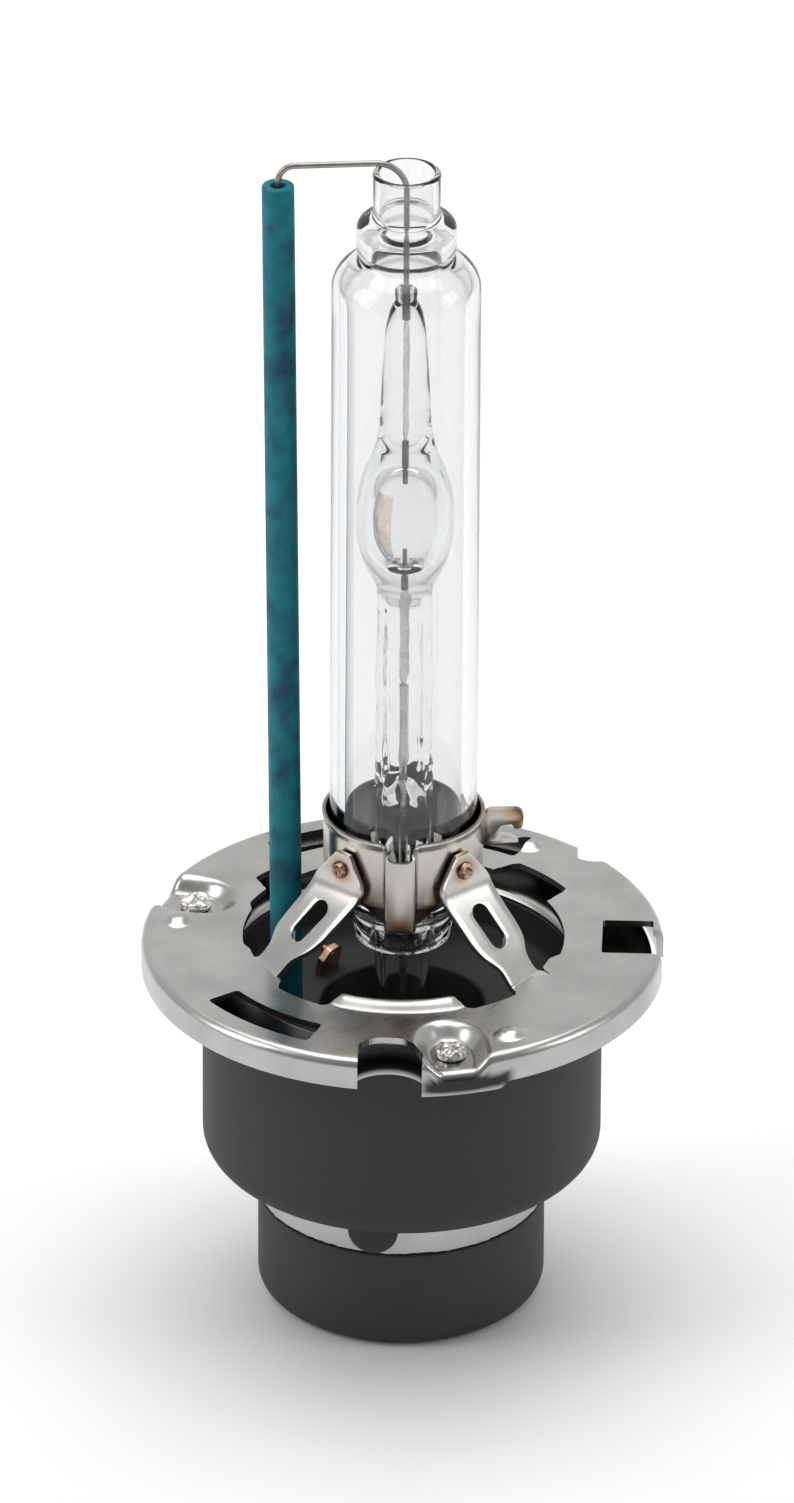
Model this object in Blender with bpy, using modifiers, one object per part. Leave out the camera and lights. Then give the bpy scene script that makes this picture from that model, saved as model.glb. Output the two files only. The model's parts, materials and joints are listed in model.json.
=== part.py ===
"""Xenon gas-discharge headlight bulb, standing on its connector end.

The origin is on the bulb's axis at the connector's end face, and +Z runs up the glass.
Lengths are in millimetres and angles in degrees, counter-clockwise from +X seen from above.
Outlines and profiles are lists of corners, where a third number rounds that corner.
"""

import math

import bmesh
import bpy
from mathutils import Matrix, Vector

MM = 0.001
MERGE = 1.0e-7
GAP = 0.1                  # clearance between pieces that touch on the real bulb

# Connector
BARREL_R = 8.84
BARREL_TOP = 9.4
CAVITY_R = 6.2
CAVITY_TOP = 8.0
BAND_BOTTOM = 6.75
BAND_THICK = 0.45
PIN_R = 1.15
PIN_BOTTOM = 1.6
PIN_TOP = 11.5
SLEEVE_R = 2.4
SLEEVE_BOTTOM = 6.2
TERMINAL_OUT = 8.2
TERMINAL_WIDTH = 1.4
TERMINAL_THICK = 0.6
TERMINAL_TOP = 12.2

# Base cup
CUP_R = 12.26
CUP_BOTTOM = 9.55
CUP_TOP = 22.2
CUP_MOUTH_R = 10.4
CUP_FLOOR = 19.6
WELL_R = 5.0
WELL_FLOOR = 14.0
LUG_R = 1.55
LUG_REACH = 10.3
LUG_HEIGHT = 9.05
LUG_ANGLES = (-98.0, -8.0, 82.0, 172.0)

# Mounting flange
FLANGE_R = 16.0
FLANGE_TOP = 24.24
FLANGE_BOTTOM = 22.34
SHEET = 0.4
OPENING = (                # the central opening: from angle, to angle, radius
    (-168, -158, 9.5), (-157, -140, 9.3), (-137, -116, 10.1), (-113, -67, 9.0),
    (-64, -44, 10.1), (-42, -29, 9.3), (-28, -26, 10.35), (-24, -15, 9.4), (-12, 29, 9.9),
    (32, 55, 11.7), (58, 78, 10.1), (81, 93, 9.3), (96, 112, 10.1), (114, 133, 9.9),
    (135, 144, 11.6), (147, 160, 10.2), (162, 190, 9.8),
)
ARC_WINDOWS = ((-143, -111.4), (107, 128), (58, 73))
WINDOW_INNER = 12.2
WINDOW_OUTER = 14.4
SIDE_NOTCH_WIDTH = 4.1
SIDE_NOTCH_Y = 0.4          # its middle
SIDE_NOTCH_REACH = 15.3     # its outer wall, where the skirt's tab closes it
SIDE_NOTCH_TAB = 1.1        # how much of its width the tab covers
RIM_NOTCH = (               # X, Y and corner radius of the arched notch in the front rim
    (-2.15, -17.0), (1.75, -17.0), (1.75, -14.1, 0.6), (0.6, -12.9, 1.3), (-1.2, -12.75, 1.6),
    (-2.15, -13.6, 0.5),
)
BACK_NOTCH = (              # the same for the shallow notch in the rim at the back right
    (10.4, 15.0), (10.4, 10.3, 0.3), (11.3, 9.8, 1.5), (12.8, 10.2), (15.0, 11.5), (15.0, 15.0),
)
LIP_HEIGHT = 0.5
BUMP_ANGLES = (-60.0, 58.5, 174.5)
BUMP_R = 14.8
PAN_ANGLES = (-75.5, 160.5, 92.0)
PAN_CENTRE_R = 13.7
PAN_RADIUS = 1.6
PAN_DEPTH = 0.7
RIVET_SHANK_R = 0.45
RIVET_HEAD_R = 0.95
CARRIER_BOTTOM = 22.3
CARRIER_THICK = 0.4
CARRIER_R = 15.3
CARRIER_BITE = (-0.3, -16.4, 2.5)  # X, Y and radius of the shallow cut in its front edge

# Claw legs and burner collar
LEGS = ((-34.0, -11.0), (-152.0, 20.5), (87.0, 0.0))  # root angle, and turn up to the tip
LEG_SHEET = 0.34           # a little thinner than the flange, after bending
LEG_PATH = (               # radius, height, half width and share of the turn along the bent strip
    (10.6, 24.04, 1.9, 0.0), (9.5, 24.04, 1.5, 0.0), (9.0, 24.25, 1.3, 0.03), (8.4, 25.2, 1.3, 0.14),
    (7.8, 26.15, 1.85, 0.29), (6.7, 27.6, 2.0, 0.5), (5.5, 29.3, 2.0, 0.78), (5.23, 30.1, 1.85, 0.86),
    (5.23, 31.2, 1.1, 0.95), (5.23, 32.0, 0.5, 1.0),
)
LEG_SLOT_LOW = (7.35, 26.6, 0.37)
LEG_SLOT_HIGH = (6.3, 28.05, 0.61)
LEG_SLOT_R = 0.66
WELD_TURN = 0.94
WELD_HEIGHT = 30.9
WELD_R = 0.55
COLLAR_IN = 4.6
COLLAR_OUT = 4.9
COLLAR_TOP = 33.0
COLLAR_SIDE_BOTTOM = 29.6
TONGUE_BOTTOM = 27.3
RIB_WIDTH = 1.8
RIB_OUT = 5.35
EAR_ANGLE = 4.0
EAR_THICK = 0.6

# Glass
GLASS_R = 4.5
GLASS_WALL = 1.0
GLASS_BOTTOM = 24.3
GLASS_TOP = 76.2
STUB_R = 2.05
STUB_BORE = 1.05
BEAD_R = 3.05
FOOT_R = 3.0

# Arc tube and what it holds
STEM_R = 1.7
STEM_BOTTOM = 15.0
CHAMBER_Z = 53.3
CHAMBER_R = 3.0
CHAMBER_HALF = 4.0
CHAMBER_IN_R = 1.75
CHAMBER_IN_HALF = 3.1
NECK_TOP = 68.0
NECK_TOP_R = 1.3
TUBE_BORE = 0.8
LEAD_R = 0.25
ELECTRODE_R = 0.15
LOWER_TIP = 51.0
UPPER_TIP = 55.6
LOWER_FOIL = (42.0, 48.8)  # from height, to height
UPPER_FOIL = (58.6, 66.6)
FOIL_WIDTH = 1.4
FOIL_THICK = 0.08
FOIL_TURN = 55.0           # the foils' faces are turned this far from the front
LOWER_LEAD_BOTTOM = 11.0
UPPER_LEAD_TOP = 73.8

# Return wire and its ceramic tube
TUBE_X = -7.0
TUBE_Y = -0.9
TUBE_LEAN = 0.65           # how much further out the tube's top is
TUBE_R = 0.975
CERAMIC_BORE = 0.45
TUBE_BOTTOM = 16.1
TUBE_TOP = 75.6
WIRE_R = 0.19
WIRE_TOP = 76.8
WIRE_BOTTOM = 12.5


def clear_scene():
    """Remove every object that the start-up scene holds."""
    for item in list(bpy.data.objects):
        bpy.data.objects.remove(item, do_unlink=True)


def new_collection(name):
    """A new collection in the scene."""
    made = bpy.data.collections.new(name)
    bpy.context.scene.collection.children.link(made)
    return made


def material(name, colour, roughness, metallic=0.0, transmission=0.0):
    """A Principled BSDF material."""
    made = bpy.data.materials.new(name)
    made.use_nodes = True
    shader = made.node_tree.nodes["Principled BSDF"]
    shader.inputs["Base Color"].default_value = (*colour, 1.0)
    shader.inputs["Roughness"].default_value = roughness
    shader.inputs["Metallic"].default_value = metallic
    shader.inputs["Transmission Weight"].default_value = transmission
    return made


clear_scene()
PARTS = new_collection("headlight_bulb")
CUTTERS = new_collection("cutters")

PLASTIC = material("black_plastic", (0.04, 0.04, 0.042), 0.45)
STAINLESS = material("stainless", (0.62, 0.6, 0.57), 0.3, metallic=1.0)
CONTACT = material("contact_steel", (0.6, 0.58, 0.55), 0.4, metallic=1.0)
BRASS = material("contact_brass", (0.75, 0.58, 0.3), 0.3, metallic=1.0)
GLASS = material("outer_glass", (0.95, 0.97, 0.97), 0.03, transmission=1.0)
QUARTZ = material("quartz", (0.97, 0.98, 0.98), 0.02, transmission=1.0)
TUNGSTEN = material("tungsten", (0.3, 0.3, 0.31), 0.35, metallic=1.0)
FOIL = material("molybdenum", (0.55, 0.54, 0.53), 0.35, metallic=1.0)
NICKEL = material("nickel_wire", (0.6, 0.59, 0.57), 0.3, metallic=1.0)
CERAMIC = material("teal_ceramic", (0.015, 0.16, 0.19), 0.6)
WELD = material("weld_metal", (0.5, 0.36, 0.28), 0.4, metallic=1.0)
COPPER = material("copper", (0.72, 0.42, 0.28), 0.3, metallic=1.0)


def polar(radius, angle):
    """The point at a radius and an angle in degrees, in plan."""
    turn = math.radians(angle)
    return Vector((radius * math.cos(turn), radius * math.sin(turn)))


def rounded(corners, closed=True, steps=3):
    """The outline's points, with each corner that has a third number rounded to that radius."""
    points = []
    count = len(corners)
    for i, corner in enumerate(corners):
        here = Vector(corner[:2])
        is_end = not closed and i in (0, count - 1)
        if len(corner) < 3 or is_end:
            points.append(here)
            continue
        radius = corner[2]
        before = (Vector(corners[i - 1][:2]) - here).normalized()
        after = (Vector(corners[(i + 1) % count][:2]) - here).normalized()
        half = before.angle(after) / 2
        reach = radius / math.tan(half)
        centre = here + (before + after).normalized() * radius / math.sin(half)
        start = here + before * reach - centre
        end = here + after * reach - centre
        first = math.atan2(start.y, start.x)
        turn = math.atan2(end.y, end.x) - first
        turn = (turn + math.pi) % (2 * math.pi) - math.pi
        for k in range(steps + 1):
            angle = first + turn * k / steps
            points.append(centre + radius * Vector((math.cos(angle), math.sin(angle))))
    return points


def arc(radius, start, end, step=8.0):
    """Points along an arc round the axis."""
    count = max(2, math.ceil(abs(end - start) / step) + 1)
    return [polar(radius, start + (end - start) * k / (count - 1)) for k in range(count)]


def place(name, mesh, finish, is_part=True):
    """An object for the mesh, in the parts' collection or among the cutters."""
    made = bpy.data.objects.new(name, mesh)
    if is_part:
        PARTS.objects.link(made)
        mesh.materials.clear()
        mesh.materials.append(finish)
    else:
        CUTTERS.objects.link(made)
        made.hide_render = True
        made.display_type = "WIRE"
    mesh.shade_smooth()
    mesh.set_sharp_from_angle(angle=math.radians(35))
    return made


def turned(name, profile, finish=None, is_closed=True, steps=48, is_part=True):
    """A profile of (radius, height) turned about Z, by a Screw modifier.

    A closed profile is a ring's section, and an open one starts and ends on the axis.
    """
    mesh = bpy.data.meshes.new(name)
    points = [(x * MM, 0.0, z * MM) for x, z in profile]
    edges = [(i, i + 1) for i in range(len(points) - 1)]
    if is_closed:
        edges.append((len(points) - 1, 0))
    mesh.from_pydata(points, edges, [])
    made = place(name, mesh, finish, is_part)
    screw = made.modifiers.new("turn", "SCREW")
    screw.axis = "Z"
    screw.steps = steps
    screw.render_steps = steps
    screw.use_merge_vertices = True
    screw.merge_threshold = MERGE
    screw.use_smooth_shade = True
    return made


def curve_to_mesh(curve_object, name, finish, is_part):
    """A mesh object with the curve's shape and place, with its caps welded on."""
    bpy.context.view_layer.update()
    graph = bpy.context.evaluated_depsgraph_get()
    mesh = bpy.data.meshes.new_from_object(curve_object.evaluated_get(graph))
    matrix = curve_object.matrix_world.copy()
    bpy.data.objects.remove(curve_object, do_unlink=True)
    work = bmesh.new()
    work.from_mesh(mesh)
    bmesh.ops.remove_doubles(work, verts=work.verts, dist=MERGE)
    work.to_mesh(mesh)
    work.free()
    made = place(name, mesh, finish, is_part)
    made.matrix_world = matrix
    return made


def new_curve(name, flat):
    """An empty curve object in the scene."""
    data = bpy.data.curves.new(name, "CURVE")
    data.dimensions = "2D" if flat else "3D"
    made = bpy.data.objects.new(name + "_curve", data)
    CUTTERS.objects.link(made)
    return made


def prism(name, outline, low, high, finish=None, is_part=True, frame=None):
    """A flat outline filled and extruded from one height to another, along its frame's Z."""
    curve = new_curve(name, flat=True)
    curve.data.fill_mode = "BOTH"
    curve.data.extrude = (high - low) / 2 * MM
    spline = curve.data.splines.new("POLY")
    spline.points.add(len(outline) - 1)
    for point, place_at in zip(spline.points, outline):
        point.co = (place_at[0] * MM, place_at[1] * MM, 0.0, 1.0)
    spline.use_cyclic_u = True
    middle = Matrix.Translation((0.0, 0.0, (low + high) / 2 * MM))
    curve.matrix_world = middle if frame is None else frame @ middle
    return curve_to_mesh(curve, name, finish, is_part)


def tube(name, route, radius, finish, resolution=2):
    """A round wire with filled caps along a route of points."""
    curve = new_curve(name, flat=False)
    curve.data.bevel_depth = radius * MM
    curve.data.bevel_resolution = resolution
    curve.data.use_fill_caps = True
    spline = curve.data.splines.new("POLY")
    spline.points.add(len(route) - 1)
    for point, place_at in zip(spline.points, route):
        point.co = (*(Vector(place_at) * MM), 1.0)
    return curve_to_mesh(curve, name, finish, is_part=True)


def rod(name, radius, low, high, finish=None, steps=20, is_part=True):
    """A plain round bar on the axis."""
    profile = ((0, high), (radius, high), (radius, low), (0, low))
    return turned(name, profile, finish, is_closed=False, steps=steps, is_part=is_part)


def combine(target, other, operation):
    """Cut, join or intersect a piece with another shape."""
    step = target.modifiers.new(operation.lower() + "_" + other.name, "BOOLEAN")
    step.operation = operation
    step.solver = "EXACT"
    step.object = other


def cut(target, cutter):
    """Take the cutter's shape out of the piece."""
    combine(target, cutter, "DIFFERENCE")


def join(target, other):
    """Add the other shape to the piece."""
    combine(target, other, "UNION")


def combine_all(target, name, others, operation):
    """Cut or join a piece with several shapes in one step."""
    group = bpy.data.collections.new(name)
    CUTTERS.children.link(group)
    for other in others:
        CUTTERS.objects.unlink(other)
        group.objects.link(other)
    step = target.modifiers.new(name, "BOOLEAN")
    step.operation = operation
    step.solver = "EXACT"
    step.operand_type = "COLLECTION"
    step.collection = group


def standing(angle, radius=0.0, height=0.0):
    """A frame at a place round the axis, with X outwards and Z up."""
    turn = Matrix.Rotation(math.radians(angle), 4, "Z")
    return turn @ Matrix.Translation((radius * MM, 0.0, height * MM))


def radial_plane(angle):
    """A frame whose X runs outwards, whose Y runs up and whose Z is square to both."""
    return standing(angle) @ Matrix.Rotation(math.radians(90), 4, "X")


def rectangle(x_low, x_high, y_low, y_high):
    """A rectangle's corners."""
    return ((x_low, y_low), (x_high, y_low), (x_high, y_high), (x_low, y_high))


def connector():
    """The barrel, its contact band, the centre pin and the pin's sleeve."""
    step_r = BARREL_R - BAND_THICK - GAP / 2
    profile = rounded((
        (step_r, BARREL_TOP), (step_r, BAND_BOTTOM - GAP), (BARREL_R, BAND_BOTTOM - GAP, 0.1),
        (BARREL_R, 0.0, 1.3), (CAVITY_R, 0.0, 0.3), (CAVITY_R, CAVITY_TOP, 0.4),
        (PIN_R + GAP, CAVITY_TOP), (PIN_R + GAP, BARREL_TOP),
    ))
    barrel = turned("connector_barrel", profile, PLASTIC)
    slot_half = TERMINAL_WIDTH / 2 + GAP
    groove = prism(
        "terminal_groove",
        rectangle(-step_r - 1.0, TUBE_X + 0.6, TUBE_Y - slot_half, TUBE_Y + slot_half),
        BARREL_TOP - TERMINAL_THICK - 2 * GAP, BARREL_TOP + 1.0, is_part=False,
    )
    cut(barrel, groove)
    band = rounded((
        (BARREL_R, BARREL_TOP + 0.05, 0.05), (BARREL_R, BAND_BOTTOM, 0.05),
        (BARREL_R - BAND_THICK, BAND_BOTTOM), (BARREL_R - BAND_THICK, BARREL_TOP + 0.05),
    ), steps=2)
    turned("contact_band", band, CONTACT)
    pin = rounded((
        (0.0, PIN_BOTTOM), (PIN_R, PIN_BOTTOM, 0.4), (PIN_R, PIN_TOP), (LEAD_R + GAP, PIN_TOP),
        (LEAD_R + GAP, LOWER_LEAD_BOTTOM - 0.5), (0.0, LOWER_LEAD_BOTTOM - 0.5),
    )[::-1], closed=False)
    turned("center_contact", pin, BRASS, is_closed=False, steps=20)
    sleeve = rounded((
        (SLEEVE_R, CAVITY_TOP - GAP), (SLEEVE_R, SLEEVE_BOTTOM, 0.3),
        (PIN_R + GAP, SLEEVE_BOTTOM), (PIN_R + GAP, CAVITY_TOP - GAP),
    ))
    turned("contact_insulator", sleeve, PLASTIC, steps=24)


def return_terminal():
    """The bent strip from the return wire's lower end out to the contact band."""
    half = TERMINAL_WIDTH / 2
    low = BARREL_TOP - TERMINAL_THICK - GAP
    high = BARREL_TOP - GAP
    frame = Matrix.Translation((0.0, TUBE_Y * MM, 0.0)) @ Matrix.Rotation(math.radians(90), 4, "X")
    outline = (
        (-TERMINAL_OUT, low), (TUBE_X + 0.3, low), (TUBE_X + 0.3, TERMINAL_TOP),
        (TUBE_X - 0.3, TERMINAL_TOP), (TUBE_X - 0.3, high), (-TERMINAL_OUT, high),
    )
    prism("return_terminal", outline, -half, half, COPPER, frame=frame)


def base_cup():
    """The black cup with its well, the return lead's socket and the locking lugs."""
    profile = rounded((
        (CUP_R, CUP_TOP, 0.25), (CUP_R, CUP_BOTTOM, 1.6), (PIN_R + 2 * GAP, CUP_BOTTOM),
        (PIN_R + 2 * GAP, WELL_FLOOR), (WELL_R, WELL_FLOOR, 0.4), (WELL_R, CUP_FLOOR, 0.2),
        (CUP_MOUTH_R, CUP_FLOOR, 0.5), (CUP_MOUTH_R, CUP_TOP),
    ))
    cup = turned("base_cup", profile, PLASTIC)
    lugs = []
    for i, angle in enumerate(LUG_ANGLES):
        outline = [Vector((0.0, LUG_HEIGHT)) + polar(LUG_R, 360 * k / 16) for k in range(16)]
        frame = standing(angle) @ Matrix.Rotation(math.radians(90), 4, "Y")
        frame = frame @ Matrix.Rotation(math.radians(90), 4, "Z")
        name = "lug_{}".format(i)
        lugs.append(prism(name, outline, BARREL_R + GAP, LUG_REACH, is_part=False, frame=frame))
    combine_all(cup, "cup_lugs", lugs, "UNION")
    half = TERMINAL_WIDTH / 2 + GAP
    seat = rod("tube_seat", TUBE_R + 2 * GAP, TUBE_BOTTOM - GAP, CUP_FLOOR + 3.0, is_part=False)
    wire_bore = rod("wire_bore", WIRE_R + 0.3, TERMINAL_TOP, TUBE_BOTTOM + 1.0, is_part=False)
    for bore in (seat, wire_bore):
        bore.location = (TUBE_X * MM, TUBE_Y * MM, 0.0)
    strip_slot = prism(
        "strip_slot", rectangle(TUBE_X - 0.55, TUBE_X + 0.55, TUBE_Y - half, TUBE_Y + half),
        CUP_BOTTOM - 1.0, TERMINAL_TOP + 0.15, is_part=False,
    )
    combine_all(cup, "return_passage", [seat, wire_bore, strip_slot], "DIFFERENCE")


def carrier_ring():
    """The steel plate under the flange, which closes the cup and carries the rivets."""
    high = CARRIER_BOTTOM + CARRIER_THICK
    profile = (
        (CARRIER_R, high), (CARRIER_R, CARRIER_BOTTOM), (CUP_MOUTH_R, CARRIER_BOTTOM), (CUP_MOUTH_R, high),
    )
    ring = turned("carrier_ring", profile, STAINLESS, steps=64)
    bite_x, bite_y, bite_r = CARRIER_BITE
    bite = rod("carrier_bite", bite_r, CARRIER_BOTTOM - 1, high + 1, is_part=False, steps=48)
    bite.matrix_world = Matrix.Translation((bite_x * MM, bite_y * MM, 0.0))
    holes = [bite]
    for i, angle in enumerate(PAN_ANGLES):
        hole = rod("rivet_hole_{}".format(i), RIVET_SHANK_R + GAP, CARRIER_BOTTOM - 1, high + 1,
                   is_part=False, steps=16)
        hole.matrix_world = standing(angle, PAN_CENTRE_R)
        holes.append(hole)
    combine_all(ring, "carrier_cuts", holes, "DIFFERENCE")


def rivets():
    """One rivet through each pan of the flange and the plate below it."""
    head_low = FLANGE_TOP - PAN_DEPTH + 0.05
    tail_high = CARRIER_BOTTOM - 0.05
    profile = rounded((
        (0.0, head_low + 0.42), (RIVET_HEAD_R, head_low + 0.42, 0.35), (RIVET_HEAD_R, head_low),
        (RIVET_SHANK_R, head_low), (RIVET_SHANK_R, tail_high), (0.75, tail_high),
        (0.75, tail_high - 0.35, 0.2), (0.0, tail_high - 0.35),
    ), closed=False)
    for i, angle in enumerate(PAN_ANGLES, start=1):
        rivet = turned("flange_rivet_{}".format(i), profile, CONTACT, is_closed=False, steps=14)
        rivet.matrix_world = standing(angle, PAN_CENTRE_R)


def leg_spot(root_angle, turn, radius, height, share, side=0.0):
    """A point on a leg, which has made a share of its turn round the axis there."""
    swing = Matrix.Rotation(math.radians(root_angle + turn * share), 3, "Z")
    return swing @ Vector((radius, side, height)) * MM


def leg(index, root_angle, turn):
    """A claw leg: a bent strip with a slot, from the flange's sheet up to the collar."""
    mesh = bpy.data.meshes.new("leg_{}".format(index))
    points = []
    for radius, height, half_width, share in LEG_PATH:
        points.append(leg_spot(root_angle, turn, radius, height, share, -half_width))
        points.append(leg_spot(root_angle, turn, radius, height, share, half_width))
    faces = [(2 * i, 2 * i + 1, 2 * i + 3, 2 * i + 2) for i in range(len(LEG_PATH) - 1)]
    mesh.from_pydata(points, [], faces)
    made = place("leg_{}".format(index), mesh, None, is_part=False)
    shell = made.modifiers.new("sheet", "SOLIDIFY")
    shell.thickness = LEG_SHEET * MM
    shell.offset = 0.0
    shell.use_even_offset = True
    low = leg_spot(root_angle, turn, *LEG_SLOT_LOW)
    high = leg_spot(root_angle, turn, *LEG_SLOT_HIGH)
    length = (high - low).length / MM
    outline = [p + Vector((length, 0)) for p in arc(LEG_SLOT_R, -90, 90, 22.5)]
    outline += arc(LEG_SLOT_R, 90, 270, 22.5)
    along = (high - low).normalized()
    middle = (low + high) / 2
    through = along.cross(Vector((-middle.y, middle.x, 0.0))).normalized()
    frame = Matrix((along, through.cross(along), through)).transposed().to_4x4()
    frame.translation = low
    slot = prism("leg_slot_{}".format(index), outline, -1.5, 1.5, is_part=False, frame=frame)
    cut(made, slot)
    return made


def flange_openings():
    """The shapes of the central opening, the arc windows and the notches."""
    outline = []
    for start, end, radius in OPENING:
        outline += arc(radius, start, end)
    shapes = {"opening": outline}
    for i, (start, end) in enumerate(ARC_WINDOWS):
        shapes["window_{}".format(i)] = arc(WINDOW_INNER, start, end) + arc(WINDOW_OUTER, end, start)
    half = SIDE_NOTCH_WIDTH / 2
    low = SIDE_NOTCH_Y - half
    high = SIDE_NOTCH_Y + half
    shapes["side_notch"] = rectangle(WINDOW_INNER, SIDE_NOTCH_REACH, low, high)
    shapes["side_notch_rim"] = rectangle(SIDE_NOTCH_REACH - 0.5, FLANGE_R + 1, low, high - SIDE_NOTCH_TAB)
    shapes["rim_notch"] = rounded(RIM_NOTCH)
    shapes["back_notch"] = rounded(BACK_NOTCH)
    return [prism(name, shape, 20.0, 30.0, is_part=False) for name, shape in shapes.items()]


def flange_bumps():
    """Three low raised bumps on the flange's face."""
    dome = rounded(((0.0, 0.4), (0.75, 0.4, 0.35), (0.75, -0.2), (0.0, -0.2)), closed=False)
    bumps = []
    for i, angle in enumerate(BUMP_ANGLES):
        bump = turned("bump_{}".format(i), dome, is_closed=False, steps=14, is_part=False)
        bump.matrix_world = standing(angle, BUMP_R - 0.9, FLANGE_TOP) @ Matrix.Diagonal((1, 1.3, 1, 1))
        bumps.append(bump)
    return bumps


def flange_pans():
    """The bodies of the three rivet pans, and the hollows and holes to cut in them."""
    under = FLANGE_TOP - SHEET
    floor = FLANGE_TOP - PAN_DEPTH
    body = ((0.0, under + 0.2), (PAN_RADIUS + 0.2, under + 0.2), (PAN_RADIUS + 0.2, under - 0.1),
            (PAN_RADIUS - 0.25, floor - SHEET), (0.0, floor - SHEET))
    hollow_r = PAN_RADIUS + 0.25
    bore_r = RIVET_SHANK_R + GAP
    hollow = ((0.0, FLANGE_TOP + 0.5), (hollow_r, FLANGE_TOP + 0.5), (PAN_RADIUS, FLANGE_TOP),
              (PAN_RADIUS - 0.5, floor), (bore_r, floor), (bore_r, floor - 1.0), (0.0, floor - 1.0))
    bodies = []
    hollows = []
    for i, angle in enumerate(PAN_ANGLES):
        spot = standing(angle, PAN_CENTRE_R)
        for shape, kind, made in ((body, "pan", bodies), (hollow, "pan_hollow", hollows)):
            name = "{}_{}".format(kind, i)
            piece = turned(name, shape, is_closed=False, steps=18, is_part=False)
            piece.matrix_world = spot
            made.append(piece)
    return bodies, hollows


def mounting_flange():
    """The stamped disc with its skirt, windows, lip, bumps, pans and legs."""
    under = FLANGE_TOP - SHEET
    inner = FLANGE_R - SHEET
    profile = rounded((
        (FLANGE_R, FLANGE_TOP, 0.55), (FLANGE_R, FLANGE_BOTTOM), (inner, FLANGE_BOTTOM),
        (inner, under, 0.2), (8.5, under), (8.5, FLANGE_TOP),
    ))
    flange = turned("mounting_flange", profile, STAINLESS, steps=72)
    lip = arc(9.02, -112, -68) + arc(9.42, -68, -112)
    pans, hollows = flange_pans()
    additions = [prism("lip", lip, under + 0.05, FLANGE_TOP + LIP_HEIGHT, is_part=False)]
    additions += flange_bumps() + pans
    additions += [leg(i, root, turn) for i, (root, turn) in enumerate(LEGS)]
    combine_all(flange, "flange_openings", flange_openings(), "DIFFERENCE")
    combine_all(flange, "flange_additions", additions, "UNION")
    combine_all(flange, "flange_hollows", hollows, "DIFFERENCE")


def leg_welds():
    """A weld nugget on the upright end of each leg."""
    face = LEG_PATH[-1][0] + LEG_SHEET / 2 + 0.04
    profile = rounded(((0.0, 0.28), (WELD_R, 0.28, 0.22), (WELD_R, 0.0), (0.0, 0.0)), closed=False)
    for i, (root, turn) in enumerate(LEGS, start=1):
        nugget = turned("leg_weld_{}".format(i), profile, WELD, is_closed=False, steps=12)
        outwards = Matrix.Rotation(math.radians(90), 4, "Y")
        nugget.matrix_world = standing(root + turn * WELD_TURN, face, WELD_HEIGHT) @ outwards


def burner_collar():
    """The thin split band round the glass, with its tongue, pressed rib, notch and ears."""
    profile = ((COLLAR_OUT, COLLAR_TOP), (COLLAR_OUT, TONGUE_BOTTOM),
               (COLLAR_IN, TONGUE_BOTTOM), (COLLAR_IN, COLLAR_TOP))
    collar = turned("burner_collar", profile, STAINLESS)
    upright = Matrix.Rotation(math.radians(90), 4, "X")
    side = COLLAR_SIDE_BOTTOM
    for name, sign in (("left", -1), ("right", 1)):
        below = [(sign * 8.0, 26.0), (sign * 8.0, side), (sign * 3.4, side),
                 (sign * 1.1, TONGUE_BOTTOM + 0.6), (sign * 1.1, 26.0)]
        cut(collar, prism("collar_below_" + name, below, 0.0, 8.0, is_part=False, frame=upright))
    behind = rectangle(-8.0, 8.0, 26.0, side)
    cut(collar, prism("collar_below_back", behind, -8.0, 0.2, is_part=False, frame=upright))
    half = RIB_WIDTH / 2
    rib = rounded(((-half - 0.5, -COLLAR_IN + 0.2), (-half, -RIB_OUT, 0.4), (half, -RIB_OUT, 0.4),
                   (half + 0.5, -COLLAR_IN + 0.2)))
    rib_body = prism("rib", rib, TONGUE_BOTTOM, COLLAR_TOP - 0.9, is_part=False)
    cut(rib_body, rod("rib_bore", COLLAR_IN + 0.1, 20.0, 40.0, is_part=False, steps=48))
    join(collar, rib_body)
    notch = rounded(((-1.0, COLLAR_TOP - 1.0, 0.4), (1.0, COLLAR_TOP - 1.0, 0.4),
                     (1.2, COLLAR_TOP + 1), (-1.2, COLLAR_TOP + 1)))
    cut(collar, prism("collar_notch", notch, 2.0, 8.0, is_part=False, frame=upright))
    ears = rounded((
        (COLLAR_IN + 0.12, 30.6), (6.3, 30.6, 0.3), (6.9, 31.3, 0.2), (6.1, 31.6, 0.25),
        (6.1, 32.1, 0.25), (7.4, 32.2, 0.35), (7.4, 33.1, 0.35), (5.2, 33.0, 0.2),
        (COLLAR_IN + 0.12, 32.6),
    ))
    half = EAR_THICK / 2
    join(collar, prism("ears", ears, -half, half, is_part=False, frame=radial_plane(EAR_ANGLE)))


def outer_glass():
    """The clear envelope, open at its foot and at its stub."""
    inner = GLASS_R - GLASS_WALL
    profile = rounded((
        (STUB_R, GLASS_TOP, 0.4), (STUB_R, 73.2, 0.3), (BEAD_R, 72.9, 0.5), (BEAD_R, 70.9, 0.3),
        (2.85, 70.6, 0.1), (GLASS_R, 69.3, 1.5), (GLASS_R, 27.6, 1.0), (FOOT_R, 26.0, 0.4),
        (FOOT_R, GLASS_BOTTOM, 0.4), (STEM_R + 2 * GAP, GLASS_BOTTOM, 0.2),
        (STEM_R + 2 * GAP, 26.4, 0.5), (inner, 28.4, 1.0), (inner, 68.6, 1.2),
        (STUB_BORE, 71.2, 0.8), (STUB_BORE, GLASS_TOP),
    ), steps=2)
    turned("outer_glass", profile, GLASS, steps=32)


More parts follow.
